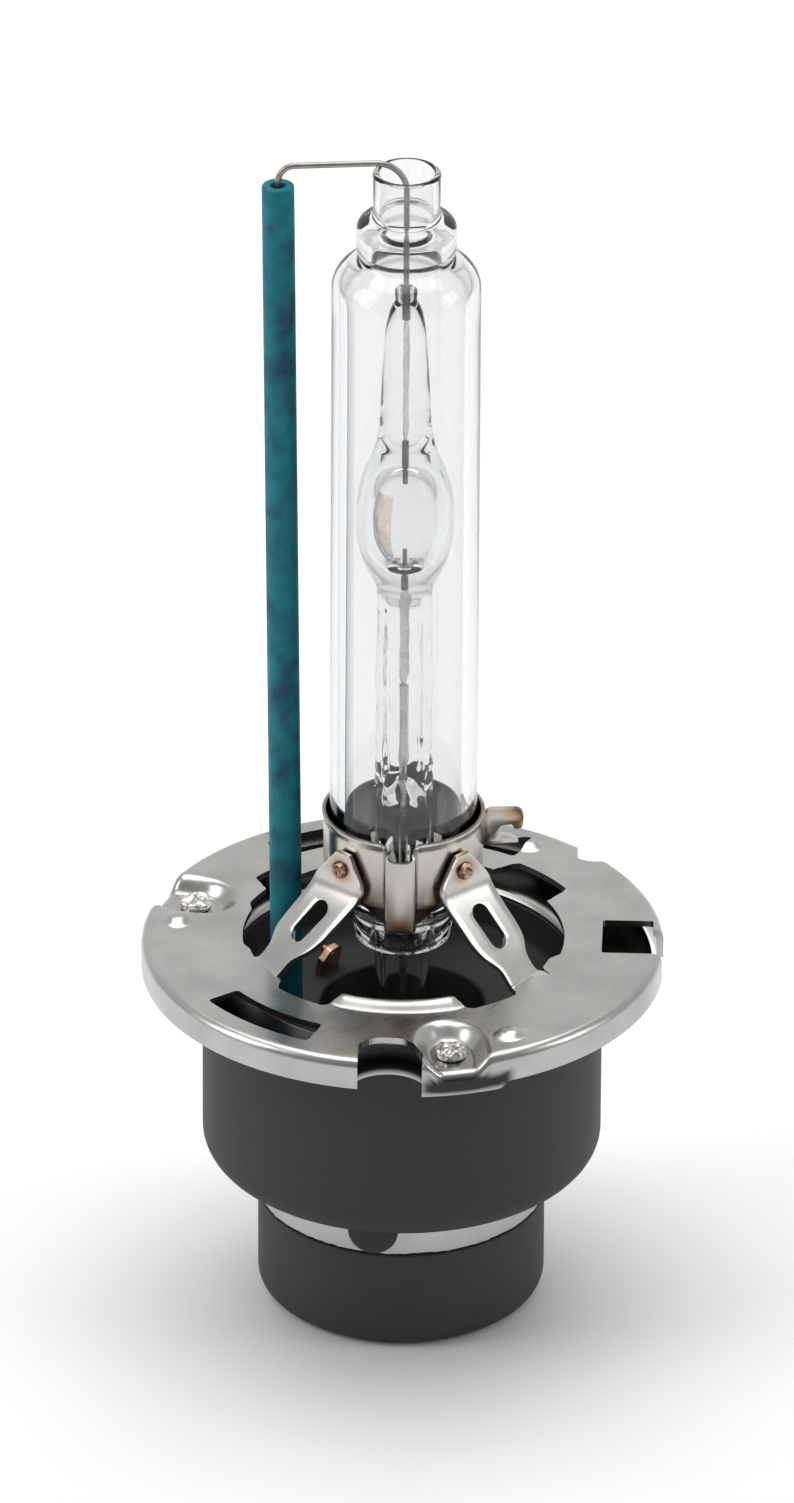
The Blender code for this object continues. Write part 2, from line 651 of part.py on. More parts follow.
def ellipse(radius, half, steps, low, high):
    """Half an ellipse's outline beside the axis, from the top down, between two heights."""
    points = []
    for k in range(1, steps):
        angle = math.pi * k / steps
        point = (radius * math.sin(angle), CHAMBER_Z + half * math.cos(angle))
        if low < point[1] < high:
            points.append(point)
    return points


def arc_tube():
    """The quartz tube with its round chamber, bored through for its foils and leads."""
    outside = [(NECK_TOP_R, NECK_TOP), (1.45, 62.0), (1.6, 58.4)]
    outside += ellipse(CHAMBER_R, CHAMBER_HALF, 12, 49.8, 56.8)
    outside += [(1.75, 48.6), (1.75, 36.0), (STEM_R, 33.0), (STEM_R, STEM_BOTTOM)]
    inside = [(TUBE_BORE, STEM_BOTTOM), (TUBE_BORE, 49.6)]
    inside += ellipse(CHAMBER_IN_R, CHAMBER_IN_HALF, 8, 50.5, 56.1)[::-1]
    inside += [(TUBE_BORE, 57.0), (TUBE_BORE, NECK_TOP)]
    turned("arc_tube", outside + inside, QUARTZ, steps=20)


def burner_inside():
    """The electrodes, foils and straight leads on the arc tube's axis."""
    rod("lower_electrode", ELECTRODE_R, LOWER_FOIL[1] + 0.05, LOWER_TIP, TUNGSTEN, steps=10)
    rod("upper_electrode", ELECTRODE_R, UPPER_TIP, UPPER_FOIL[0] - 0.05, TUNGSTEN, steps=10)
    half = FOIL_WIDTH / 2
    turn = Matrix.Rotation(math.radians(FOIL_TURN), 4, "Z")
    upright = turn @ Matrix.Rotation(math.radians(90), 4, "X")
    for name, (low, high) in (("lower_foil", LOWER_FOIL), ("upper_foil", UPPER_FOIL)):
        outline = rounded(((-half, low, 0.3), (half, low, 0.3), (half, high, 0.3), (-half, high, 0.3)))
        prism(name, outline, -FOIL_THICK / 2, FOIL_THICK / 2, FOIL, frame=upright)
    rod("lower_lead", LEAD_R, LOWER_LEAD_BOTTOM, LOWER_FOIL[0] - 0.05, NICKEL, steps=12)
    rod("upper_lead", LEAD_R, UPPER_FOIL[1] + 0.05, UPPER_LEAD_TOP, NICKEL, steps=12)


def tube_axis(height):
    """The ceramic tube's centre at a height."""
    share = (height - TUBE_BOTTOM) / (TUBE_TOP - TUBE_BOTTOM)
    return Vector((TUBE_X - TUBE_LEAN * share, TUBE_Y, height))


def bend(before, corner, after, radius, steps=6):
    """Points round a bend in the wire."""
    into = (corner - before).normalized()
    out = (after - corner).normalized()
    half = (math.pi - into.angle(out)) / 2
    reach = radius / math.tan(half)
    start = corner - into * reach
    end = corner + out * reach
    centre = corner + (out - into).normalized() * radius / math.sin(half)
    normal = into.cross(out).normalized()
    turn = into.angle(out)
    points = [centre + Matrix.Rotation(turn * k / steps, 3, normal) @ (start - centre)
              for k in range(steps)]
    return points + [end]


def return_side():
    """The ceramic tube and the return wire that runs down through it."""
    length = TUBE_TOP - TUBE_BOTTOM
    profile = rounded((
        (TUBE_R, length, 0.15), (TUBE_R, 0.0, 0.1), (CERAMIC_BORE, 0.0), (CERAMIC_BORE, length),
    ), steps=2)
    ceramic = turned("ceramic_tube", profile, CERAMIC, steps=24)
    lean = Matrix.Rotation(-math.atan2(TUBE_LEAN, length), 4, "Y")
    ceramic.matrix_world = Matrix.Translation(tube_axis(TUBE_BOTTOM) * MM) @ lean
    foot = Vector((0.0, 0.0, UPPER_LEAD_TOP + 0.05))
    over = Vector((0.0, 0.0, WIRE_TOP))
    top = tube_axis(WIRE_TOP)
    entry = tube_axis(TUBE_TOP - 0.6)
    seat = tube_axis(TUBE_BOTTOM)
    route = [foot] + bend(foot, over, top, 0.9) + bend(over, top, entry, 1.0)
    route += [entry, seat, Vector((TUBE_X, TUBE_Y, WIRE_BOTTOM))]
    tube("return_wire", route, WIRE_R, NICKEL)


def stem_clip():
    """The copper-coloured strap that stands on the cup's floor beside the well."""
    outline = rounded((
        (-0.9, 0.0), (0.9, 0.0), (0.9, 1.0, 0.3), (0.35, 1.7, 0.3), (-0.6, 1.7, 0.3), (-0.9, 1.0, 0.3),
    ))
    frame = standing(142.0, 6.1, CUP_FLOOR + GAP) @ Matrix.Rotation(math.radians(90), 4, "Z")
    frame = frame @ Matrix.Rotation(math.radians(75), 4, "X")
    prism("stem_clip", outline, -0.2, 0.2, COPPER, frame=frame)


connector()
return_terminal()
base_cup()
carrier_ring()
mounting_flange()
rivets()
leg_welds()
burner_collar()
outer_glass()
arc_tube()
burner_inside()
return_side()
stem_clip()
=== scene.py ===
"""Looks of the gas-discharge headlight bulb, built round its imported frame.

Every piece is modelled in place, in the frame's own coordinates, and rides on the one body.
Lengths are in millimetres and angles in degrees, counter-clockwise from +X seen from above.
Outlines and profiles are lists of corners, where a third number rounds that corner.
"""

import json
import math

import bmesh
import bpy
from mathutils import Matrix, Vector, noise


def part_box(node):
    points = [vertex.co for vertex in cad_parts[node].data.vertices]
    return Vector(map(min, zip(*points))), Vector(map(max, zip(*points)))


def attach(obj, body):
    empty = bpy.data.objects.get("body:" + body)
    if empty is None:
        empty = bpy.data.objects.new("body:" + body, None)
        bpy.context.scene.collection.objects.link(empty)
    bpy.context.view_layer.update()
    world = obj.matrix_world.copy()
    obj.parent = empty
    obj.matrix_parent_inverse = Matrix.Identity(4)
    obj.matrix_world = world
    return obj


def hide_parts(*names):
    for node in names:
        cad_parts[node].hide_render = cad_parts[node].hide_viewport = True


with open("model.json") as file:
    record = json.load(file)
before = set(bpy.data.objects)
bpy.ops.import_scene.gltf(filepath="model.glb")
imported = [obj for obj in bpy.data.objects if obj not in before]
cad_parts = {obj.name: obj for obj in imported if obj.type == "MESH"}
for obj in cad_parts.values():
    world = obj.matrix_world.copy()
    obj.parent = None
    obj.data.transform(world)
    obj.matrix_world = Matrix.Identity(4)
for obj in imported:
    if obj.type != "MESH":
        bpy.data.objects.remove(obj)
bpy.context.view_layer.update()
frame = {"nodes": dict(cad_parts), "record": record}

MM = 0.001
BODY = "root"


def box_mm(node):
    """A frame node's lowest and highest corners in millimetres."""
    low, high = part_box(node)
    return low / MM, high / MM


def mount_mm(name):
    """Where a mount is, in millimetres."""
    spot = next(m for m in frame["record"]["mounts"] if m["name"] == name)
    return Vector(spot["pos_m"]) / MM


# Sizes read from the frame
CUP_HIGH = box_mm("base_cup")[1]
BARREL_HIGH = box_mm("connector_barrel")[1]
BAND_LOW, BAND_HIGH = box_mm("contact_band")
CARRIER_LOW, CARRIER_HIGH = box_mm("carrier_ring")
FLANGE_LOW = box_mm("mounting_flange")[0]
COLLAR_LOW, COLLAR_HIGH = box_mm("burner_collar")
GLASS_LOW, GLASS_HIGH = box_mm("outer_glass")
ARC_LOW, ARC_HIGH = box_mm("arc_tube")
CERAMIC_LOW, CERAMIC_HIGH = box_mm("ceramic_tube")
WIRE_LOW, WIRE_HIGH = box_mm("return_wire")
LEAD_TOP = box_mm("upper_lead")[1].z
SLEEVE_LOW, SLEEVE_HIGH = box_mm("contact_insulator")
PIN_LOW, PIN_HIGH = box_mm("center_contact")
CUP_R = CUP_HIGH.x
BARREL_R = BARREL_HIGH.x
FLANGE_R = -FLANGE_LOW.x
FLANGE_TOP = mount_mm("reference_face").z
GLASS_R = GLASS_HIGH.x
CHAMBER_R = ARC_HIGH.x
CERAMIC_R = (CERAMIC_HIGH.y - CERAMIC_LOW.y) / 2
CERAMIC_FOOT = Vector((CERAMIC_HIGH.x - CERAMIC_R, (CERAMIC_LOW.y + CERAMIC_HIGH.y) / 2, CERAMIC_LOW.z))

CHAMBER_Z = 53.3
SHEET = 0.4
EDGE = 0.05                # the bright broken edge of a stamped sheet
SMOOTH_ANGLE = math.radians(35)
MERGE = 1.0e-7             # metres between points that count as one


# ---------------------------------------------------------------- shapes

def polar(radius, angle):
    """The point at a radius and an angle in degrees, in plan."""
    turn = math.radians(angle)
    return Vector((radius * math.cos(turn), radius * math.sin(turn)))


def smooth(low, high, value):
    """0 up to low, 1 from high, and an even S between them."""
    share = min(1.0, max(0.0, (value - low) / (high - low)))
    return share * share * (3 - 2 * share)


def heading(x, y):
    """The direction of a place from the axis, in degrees."""
    return math.degrees(math.atan2(y, x))


def angle_gap(a, b):
    """The unsigned angle between two directions in degrees."""
    return abs((a - b + 180.0) % 360.0 - 180.0)


def along(path, share):
    """A point on a smooth curve through the path's points."""
    span = share * (len(path) - 1)
    i = min(int(span), len(path) - 2)
    t = span - i
    a, b = path[max(i - 1, 0)], path[i]
    c, d = path[i + 1], path[min(i + 2, len(path) - 1)]
    return [0.5 * (2 * q + (r - p) * t + (2 * p - 5 * q + 4 * r - s) * t * t
                   + (3 * q - p - 3 * r + s) * t ** 3) for p, q, r, s in zip(a, b, c, d)]


def rounded(corners, closed=True, steps=6):
    """The outline's points, with each corner that has a third number rounded to that radius."""
    points = []
    count = len(corners)
    for i, corner in enumerate(corners):
        here = Vector(corner[:2])
        is_end = not closed and i in (0, count - 1)
        if len(corner) < 3 or is_end:
            points.append(here)
            continue
        before = (Vector(corners[i - 1][:2]) - here).normalized()
        after = (Vector(corners[(i + 1) % count][:2]) - here).normalized()
        half = before.angle(after) / 2
        reach = corner[2] / math.tan(half)
        centre = here + (before + after).normalized() * corner[2] / math.sin(half)
        start = here + before * reach - centre
        end = here + after * reach - centre
        first = math.atan2(start.y, start.x)
        turn = (math.atan2(end.y, end.x) - first + math.pi) % (2 * math.pi) - math.pi
        for k in range(steps + 1):
            spot = first + turn * k / steps
            points.append(centre + corner[2] * Vector((math.cos(spot), math.sin(spot))))
    return points


def new_object(name, mesh, finish=None):
    """A smooth-shaded object for the mesh, with its material."""
    made = bpy.data.objects.new(name, mesh)
    bpy.context.scene.collection.objects.link(made)
    if finish:
        mesh.materials.append(finish)
    mesh.shade_smooth()
    mesh.set_sharp_from_angle(angle=SMOOTH_ANGLE)
    return made


def grid(name, rows, columns, point_at, finish, wraps=False):
    """A surface of quads through point_at(row, column), in millimetres."""
    points = [Vector(point_at(r, c)) * MM for r in range(rows) for c in range(columns)]
    faces = []
    for r in range(rows - 1):
        for c in range(columns if wraps else columns - 1):
            after = (c + 1) % columns
            low = r * columns
            high = low + columns
            faces.append((low + c, low + after, high + after, high + c))
    mesh = bpy.data.meshes.new(name)
    mesh.from_pydata(points, [], faces)
    return new_object(name, mesh, finish)


def turned(name, profile, finish=None, is_closed=True, steps=160):
    """A profile of (radius, height) turned about Z. It runs down its outer side."""
    points = [(x * MM, 0.0, z * MM) for x, z in profile]
    edges = [(i, i + 1) for i in range(len(points) - 1)]
    if is_closed:
        edges.append((len(points) - 1, 0))
    mesh = bpy.data.meshes.new(name)
    mesh.from_pydata(points, edges, [])
    made = new_object(name, mesh, finish)
    screw = made.modifiers.new("turn", "SCREW")
    screw.axis = "Z"
    screw.steps = steps
    screw.render_steps = steps
    screw.use_merge_vertices = True
    screw.merge_threshold = MERGE
    return settle(made)


def settle(made):
    """The object with its modifiers made part of its mesh."""
    bpy.context.view_layer.update()
    graph = bpy.context.evaluated_depsgraph_get()
    mesh = bpy.data.meshes.new_from_object(made.evaluated_get(graph))
    made.modifiers.clear()
    if made.type != "MESH":
        fresh = bpy.data.objects.new(made.name + "_mesh", mesh)
        bpy.context.scene.collection.objects.link(fresh)
        fresh.matrix_world = made.matrix_world.copy()
        name = made.name
        bpy.data.objects.remove(made, do_unlink=True)
        fresh.name = name
        made = fresh
        work = bmesh.new()
        work.from_mesh(mesh)
        bmesh.ops.remove_doubles(work, verts=work.verts, dist=MERGE)
        work.to_mesh(mesh)
        work.free()
    else:
        made.data = mesh
    mesh.shade_smooth()
    mesh.set_sharp_from_angle(angle=SMOOTH_ANGLE)
    return made


def plug(name, radius, low, high, steps):
    """A plain cylinder on the axis, to cut a hole with."""
    return turned(name, ((0, high), (radius, high), (radius, low), (0, low)), is_closed=False, steps=steps)


def placed(made, matrix):
    """The object with the matrix made part of its mesh, so that its origin stays at the frame's."""
    made.data.transform(matrix)
    return made


def curve_mesh(name, points, is_closed, **settings):
    """A curve through the points, in millimetres, filled or thickened as its settings say."""
    data = bpy.data.curves.new(name, "CURVE")
    for key, value in settings.items():
        setattr(data, key, value)
    spline = data.splines.new("POLY")
    spline.points.add(len(points) - 1)
    for point, spot in zip(spline.points, points):
        point.co = (*(Vector(spot).to_3d() * MM), 1.0)
    spline.use_cyclic_u = is_closed
    made = bpy.data.objects.new(name, data)
    bpy.context.scene.collection.objects.link(made)
    return settle(made)


def prism(name, outline, low, high, finish=None, matrix=None):
    """A flat outline extruded from one height to another."""
    made = curve_mesh(name, outline, True, dimensions="2D", fill_mode="BOTH", extrude=(high - low) / 2 * MM)
    if finish:
        made.data.materials.append(finish)
    middle = Matrix.Translation((0.0, 0.0, (low + high) / 2 * MM))
    return placed(made, middle if matrix is None else matrix @ middle)


def wire(name, route, radius, finish):
    """A round wire with capped ends along a route of points."""
    made = curve_mesh(name, route, False, dimensions="3D", bevel_depth=radius * MM, bevel_resolution=4,
                      use_fill_caps=True)
    made.data.materials.append(finish)
    return made


def boolean(target, others, operation="DIFFERENCE"):
    """Cut or join the target with other objects, which are then removed."""
    group = bpy.data.collections.new("boolean")
    for other in others:
        group.objects.link(other)
    step = target.modifiers.new("boolean", "BOOLEAN")
    step.operation = operation
    step.solver = "EXACT"
    step.operand_type = "COLLECTION"
    step.collection = group
    made = settle(target)
    for other in others:
        bpy.data.objects.remove(other, do_unlink=True)
    bpy.data.collections.remove(group)
    return made


def break_edges(made, width=EDGE):
    """A small rounded bevel along the sharp edges."""
    bevel = made.modifiers.new("bevel", "BEVEL")
    bevel.width = width * MM
    bevel.segments = 2
    bevel.limit_method = "ANGLE"
    bevel.angle_limit = math.radians(40)
    bevel.use_clamp_overlap = True
    return settle(made)


def thicken(made, thickness):
    """The open surface as a sheet, half its thickness to either side."""
    shell = made.modifiers.new("sheet", "SOLIDIFY")
    shell.thickness = thickness * MM
    shell.offset = 0.0
    shell.use_even_offset = True
    return settle(made)


def roughen(made, amount, size, seed, keep):
    """Move each point along its normal by smooth noise. keep(place) scales it from 0 to 1."""
    places = []
    for vertex in made.data.vertices:
        spot = vertex.co / MM
        shift = noise.noise(spot / size + Vector((seed, seed * 2.7, -seed)))
        places.extend(vertex.co + vertex.normal * (amount * MM * shift * keep(spot)))
    made.data.vertices.foreach_set("co", places)
    made.data.update()


def mark(made, name, value_at):
    """Store a value from 0 to 1 on each point, from its place in millimetres."""
    layer = made.data.attributes.new(name, "FLOAT", "POINT")
    for vertex, value in zip(made.data.vertices, layer.data):
        value.value = value_at(vertex.co / MM)


def tint(made, spots):
    """Mark how strongly each point takes the heat tint, from the nearest of (place, reach). On the collar
    two spots are partly painted shade.
    """
    mark(made, "scorch_and_shade", lambda spot: max(
        1.0 - smooth(0.15 * reach, reach, (spot - place).length) for place, reach in spots))


def standing(angle, radius=0.0, height=0.0):
    """A frame at a place round the axis, with X outwards and Z up."""
    turn = Matrix.Rotation(math.radians(angle), 4, "Z")
    return turn @ Matrix.Translation((radius * MM, 0.0, height * MM))


def piece(made, slot, *nodes):
    """Ride on the body and stand for the nodes. The slot is not used."""
    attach(made, BODY)
    if nodes:
        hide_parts(*nodes)


# ---------------------------------------------------------------- materials

class Finish:
    """A Principled material with short ways to drive its inputs. An underscore in a key is a space."""

    def __init__(self, name, **values):
        self.material = bpy.data.materials.new(name)
        self.material.use_nodes = True
        self.nodes = self.material.node_tree.nodes
        self.links = self.material.node_tree.links
        self.shader = self.nodes["Principled BSDF"]
        for key, value in values.items():
            self.shader.inputs[key.replace("_", " ")].default_value = value
        self.coords = self.nodes.new("ShaderNodeTexCoord").outputs["Object"]

    def noise(self, scale, stretch=(1, 1, 1), detail=4.0):
        """A noise factor. Scale is in features per metre, stretched by axis."""
        mapping = self.nodes.new("ShaderNodeMapping")
        mapping.inputs["Scale"].default_value = stretch
        self.links.new(self.coords, mapping.inputs["Vector"])
        made = self.nodes.new("ShaderNodeTexNoise")
        made.inputs["Scale"].default_value = scale
        made.inputs["Detail"].default_value = detail
        self.links.new(mapping.outputs["Vector"], made.inputs["Vector"])
        return made.outputs[0]

    def ramp(self, factor, stops):
        """Colours or greys along a factor: a list of (place, colour)."""
        made = self.nodes.new("ShaderNodeValToRGB")
        band = made.color_ramp
        while len(band.elements) < len(stops):
            band.elements.new(0.5)
        for element, (place, colour) in zip(band.elements, stops):
            element.position = place
            if isinstance(colour, (int, float)):
                colour = (colour, colour, colour)
            element.color = (*colour, 1.0)
        self.links.new(factor, made.inputs["Fac"])
        return made.outputs["Color"]

    def mix(self, factor, first, second, blend="MIX"):
        """Two colours mixed by a factor, which may be a number."""
        made = self.nodes.new("ShaderNodeMix")
        made.data_type = "RGBA"
        made.blend_type = blend
        sockets = (made.inputs[0], made.inputs[6], made.inputs[7])
        for socket, value in zip(sockets, (factor, first, second)):
            if isinstance(value, (int, float)):
                socket.default_value = value
            elif isinstance(value, tuple):
                socket.default_value = (*value, 1.0)
            else:
                self.links.new(value, socket)
        return made.outputs[2]

    def attribute(self, name):
        """A value stored on the mesh's points."""
        made = self.nodes.new("ShaderNodeAttribute")
        made.attribute_name = name
        return made.outputs["Fac"]

    def feed(self, socket, value):
        """Drive one of the shader's inputs."""
        self.links.new(value, self.shader.inputs[socket])

    def bump(self, height, distance, strength=1.0):
        """Surface relief from a height factor. Distance is in millimetres."""
        made = self.nodes.new("ShaderNodeBump")
        made.inputs["Strength"].default_value = strength
        made.inputs["Distance"].default_value = distance * MM
        self.links.new(height, made.inputs["Height"])
        self.links.new(made.outputs["Normal"], self.shader.inputs["Normal"])


def plastic(name, dark, light, rough):
    """Black moulded plastic with a fine texture."""
    made = Finish(name, IOR=1.4)
    cloud = made.noise(120, detail=6.0)
    grain = made.noise(6000, detail=2.0)
    made.feed("Base Color", made.ramp(cloud, [(0.3, dark), (0.7, light)]))
    made.feed("Roughness", made.ramp(cloud, [(0.25, rough - 0.05), (0.75, rough + 0.07)]))
    made.bump(grain, 0.02, 0.35)
    return made.material


def steel(name, base, rough, heat=None, shade=None):
    """Stamped stainless sheet: a cloudy tone, with a heat tint (on the collar partly painted shade) and
    painted shade where marked.
    """
    made = Finish(name, Metallic=1.0)
    cloud = made.noise(260, detail=5.0)
    fine = made.noise(520, stretch=(1, 1, 0.3), detail=3.0)
    wave = made.noise(330, detail=1.5)
    dark = tuple(c * 0.86 for c in base)
    light = tuple(min(1.0, c * 1.1) for c in base)
    colour = made.ramp(cloud, [(0.3, dark), (0.7, light)])
    # Heat tint by the welds; on the collar the same tint also lays painted shade low on the band.
    if heat:
        warm = made.ramp(made.attribute("scorch_and_shade"), [
            (0.0, (1, 1, 1)), (0.4, (1.0, 0.93, 0.84)), (0.75, (0.8, 0.6, 0.46)), (1.0, heat),
        ])
        colour = made.mix(1.0, colour, warm, "MULTIPLY")
    # Painted shade: where the shade mark is set, the colour goes to the shade colour in place of real shade.
    if shade:
        colour = made.mix(made.attribute("shade"), colour, shade)
    made.feed("Base Color", colour)
    made.feed("Roughness", made.ramp(fine, [(0.3, rough - 0.03), (0.7, rough + 0.05)]))
    made.bump(wave, 0.02, 0.25)
    return made.material


def metal(name, dark, light, rough, scale=900, relief=0.01):
    """A small metal piece with a mottled tone."""
    made = Finish(name, Metallic=1.0)
    cloud = made.noise(scale, detail=5.0)
    made.feed("Base Color", made.ramp(cloud, [(0.3, dark), (0.7, light)]))
    made.feed("Roughness", made.ramp(cloud, [(0.2, rough - 0.07), (0.8, rough + 0.12)]))
    made.bump(made.noise(scale * 4), relief, 0.5)
    return made.material


def glass(name, index, tint_and_edge_shade, relief):
    """Clear glass with a faint grey tint and painted shade where it is seen edge on, with faint waviness and
    a trace of smear.
    """
    made = Finish(name, IOR=index, Transmission_Weight=1.0)
    facing = made.nodes.new("ShaderNodeLayerWeight")
    facing.inputs["Blend"].default_value = 0.5
    wave = made.noise(180, stretch=(1, 1, 0.3), detail=1.0)
    # Painted shade: the colour darkens towards the edges as seen, standing in for the dark surroundings
    # those edges would show.
    body = made.ramp(facing.outputs["Facing"], tint_and_edge_shade)
    made.feed("Base Color", made.mix(1.0, body, made.ramp(wave, [(0.2, 0.97), (0.8, 1.0)]), "MULTIPLY"))
    made.feed("Roughness", made.ramp(made.noise(420), [(0.45, 0.0), (0.8, 0.03)]))
    made.bump(wave, relief, 0.4)
    return made.material


def ceramic():
    """Matte blue-green ceramic with faint darker blotches across it."""
    made = Finish("ceramic_glaze", IOR=1.4)
    blotch = made.noise(620, stretch=(1, 1, 0.8), detail=5.0)
    speck = made.noise(5200, detail=2.0)
    colour = made.ramp(blotch, [(0.32, (0.004, 0.06, 0.115)), (0.5, (0.001, 0.15, 0.19)),
                                (0.7, (0.001, 0.21, 0.255))])
    made.feed("Base Color", colour)
    made.feed("Roughness", made.ramp(speck, [(0.3, 0.52), (0.7, 0.7)]))
    made.bump(speck, 0.02, 0.5)
    return made.material


def salt():
    """The thin amber film on the arc chamber's wall."""
    made = Finish("salt_film", IOR=1.46, Transmission_Weight=1.0)
    cloud = made.noise(1500, detail=6.0)
    made.feed("Base Color", made.ramp(cloud, [(0.3, (0.98, 0.82, 0.64)), (0.7, (0.99, 0.9, 0.8))]))
    made.feed("Roughness", made.ramp(cloud, [(0.3, 0.15), (0.7, 0.35)]))
    return made.material


def along_y(nodes, links, coords, low, high):
    """A factor that goes from 0 at low to 1 at high along Y."""
    split = nodes.new("ShaderNodeSeparateXYZ")
    links.new(coords, split.inputs["Vector"])
    span = nodes.new("ShaderNodeMapRange")
    span.inputs["From Min"].default_value = low
    span.inputs["From Max"].default_value = high
    links.new(split.outputs["Y"], span.inputs["Value"])
    return span.outputs["Result"]


FLOOR_NEAR_Y = -0.09       # metres: where the floor's painted shade starts and stops changing
FLOOR_FAR_Y = 0.05


def floor_finish():
    """A plain pale studio floor, with painted shade that makes it a little darker close to the viewer."""
    made = Finish("floor_paper", Roughness=0.75, Specular_IOR_Level=0.2)
    # Painted shade: darker towards the viewer, in place of the light falling off there.
    depth = along_y(made.nodes, made.links, made.coords, FLOOR_NEAR_Y, FLOOR_FAR_Y)
    made.feed("Base Color", made.ramp(depth, [
        (0.0, (0.86, 0.87, 0.885)), (0.45, (0.925, 0.932, 0.94)), (1.0, (0.96, 0.96, 0.965)),
    ]))
    return made.material


PLASTIC = plastic("black_moulding", (0.025, 0.025, 0.026), (0.035, 0.035, 0.036), 0.6)
BARREL_PLASTIC = plastic("connector_moulding", (0.032, 0.032, 0.033), (0.043, 0.043, 0.045), 0.62)
# The shade colours below are painted shade, laid where each part's shade mark is set; the collar's heat
# colour also lays painted shade in two spots.
FLANGE_STEEL = steel("flange_steel", (0.47, 0.465, 0.45), 0.26, shade=(0.04, 0.04, 0.04))
PLATE_STEEL = steel("plate_steel", (0.5, 0.49, 0.47), 0.3, shade=(0.03, 0.028, 0.027))
LEG_STEEL = steel("leg_steel", (0.56, 0.545, 0.525), 0.25, heat=(0.36, 0.17, 0.09))
COLLAR_STEEL = steel("collar_steel", (0.56, 0.535, 0.5), 0.22, (0.2, 0.11, 0.07), (0.05, 0.043, 0.04))
BAND_STEEL = steel("band_steel", (0.55, 0.545, 0.53), 0.36)
RIVET_STEEL = metal("rivet_steel", (0.42, 0.4, 0.38), (0.8, 0.78, 0.75), 0.2, 1600, 0.03)
BRASS = metal("pin_brass", (0.62, 0.44, 0.2), (0.78, 0.6, 0.3), 0.27)
NICKEL = metal("nickel_wire", (0.3, 0.27, 0.25), (0.46, 0.43, 0.4), 0.32)
TUNGSTEN = metal("tungsten", (0.2, 0.2, 0.21), (0.34, 0.34, 0.35), 0.38, 2400)
FOIL = metal("molybdenum_foil", (0.45, 0.45, 0.45), (0.72, 0.72, 0.72), 0.25, 1400, 0.02)
COPPER = metal("copper_strap", (0.3, 0.16, 0.1), (0.66, 0.42, 0.31), 0.25, 1400, 0.02)
WELD = metal("weld_bead", (0.24, 0.13, 0.09), (0.72, 0.5, 0.4), 0.27, 2200, 0.04)
# Tones from face-on to edge-on: a faint grey tint, then painted shade at the edges.
GLASS = glass("envelope_glass", 1.48, [
    (0.0, (0.915, 0.92, 0.918)), (0.5, (0.885, 0.89, 0.892)), (0.8, (0.7, 0.71, 0.73)),
    (1.0, (0.34, 0.34, 0.38)),
], 0.004)
QUARTZ = glass("quartz_glass", 1.37, [
    (0.0, (0.99, 0.99, 0.99)), (0.6, (0.93, 0.935, 0.94)), (1.0, (0.45, 0.45, 0.47)),
], 0.01)
CERAMIC = ceramic()
SALT = salt()


# ---------------------------------------------------------------- base and connector

CUP_BOTTOM = BARREL_HIGH.z + 0.15
CUP_MOUTH = CARRIER_LOW.z - 0.1
CUP_FLOOR = 19.6
CUP_INNER_R = 10.4
CUP_BORE_R = 1.35
WELL_R = 5.0
WELL_FLOOR = 14.0
SEAT_R = 1.18              # the hole in the cup's floor that the ceramic tube stands in
SEAT_LOW = 16.0
SEAT_HIGH = 23.0
LUG_R = 1.55
LUG_Z = 9.05
LUG_REACH = 10.3
LUG_ROOT = BARREL_R + 0.1
LUG_ANGLES = (-98.0, -8.0, 82.0, 172.0)
BARREL_STEP = BAND_LOW.z - 0.1
BARREL_STEP_R = BAND_LOW.x + 2 * BARREL_R - 0.5
BARREL_BORE_R = 1.25
SOCKET_R = 6.2
SOCKET_DEPTH = 8.0
PIN_R = PIN_HIGH.x
PIN_GROOVE_R = PIN_R - 0.1
PIN_HOLE_R = 0.35          # where the lead enters its top
PIN_DIMPLE = 2.2
BAND_SHEET = 0.45
BAND_EDGE = BAND_LOW.z + 0.08


def cup():
    """The base cup with its well, its locking lugs and the ceramic tube's seat."""
    body = turned("cup_moulding", rounded((
        (CUP_R, CUP_HIGH.z, 0.25), (CUP_R, CUP_BOTTOM, 1.65), (CUP_BORE_R, CUP_BOTTOM),
        (CUP_BORE_R, WELL_FLOOR), (WELL_R, WELL_FLOOR, 0.5), (WELL_R, CUP_FLOOR, 0.25),
        (CUP_INNER_R, CUP_FLOOR, 0.6), (CUP_INNER_R, CUP_MOUTH, 0.15),
    ), steps=8), PLASTIC)
    side_on = Matrix.Rotation(math.radians(90), 4, "Y")
    profile = rounded(((0.0, LUG_REACH), (LUG_R, LUG_REACH, 0.3), (LUG_R, LUG_ROOT), (0.0, LUG_ROOT)),
                      closed=False)
    lugs = []
    for angle in LUG_ANGLES:
        lug = turned("lug", profile, is_closed=False, steps=48)
        lugs.append(placed(lug, standing(angle, 0, LUG_Z) @ side_on))
    body = boolean(body, lugs, "UNION")
    seat = plug("seat", SEAT_R, SEAT_LOW, SEAT_HIGH, 48)
    placed(seat, Matrix.Translation((CERAMIC_FOOT.x * MM, CERAMIC_FOOT.y * MM, 0.0)))
    piece(boolean(body, [seat]), "black_plastic", "base_cup")


def barrel():
    """The round connector barrel, with the socket for the plug in its end."""
    body = turned("barrel_moulding", rounded((
        (BARREL_STEP_R, BARREL_HIGH.z), (BARREL_STEP_R, BARREL_STEP), (BARREL_R, BARREL_STEP, 0.12),
        (BARREL_R, 0.0, 1.3), (SOCKET_R, 0.0, 0.3), (SOCKET_R, SOCKET_DEPTH, 0.4),
        (BARREL_BORE_R, SOCKET_DEPTH), (BARREL_BORE_R, BARREL_HIGH.z),
    ), steps=8), BARREL_PLASTIC)
    piece(body, "black_plastic", "connector_barrel")


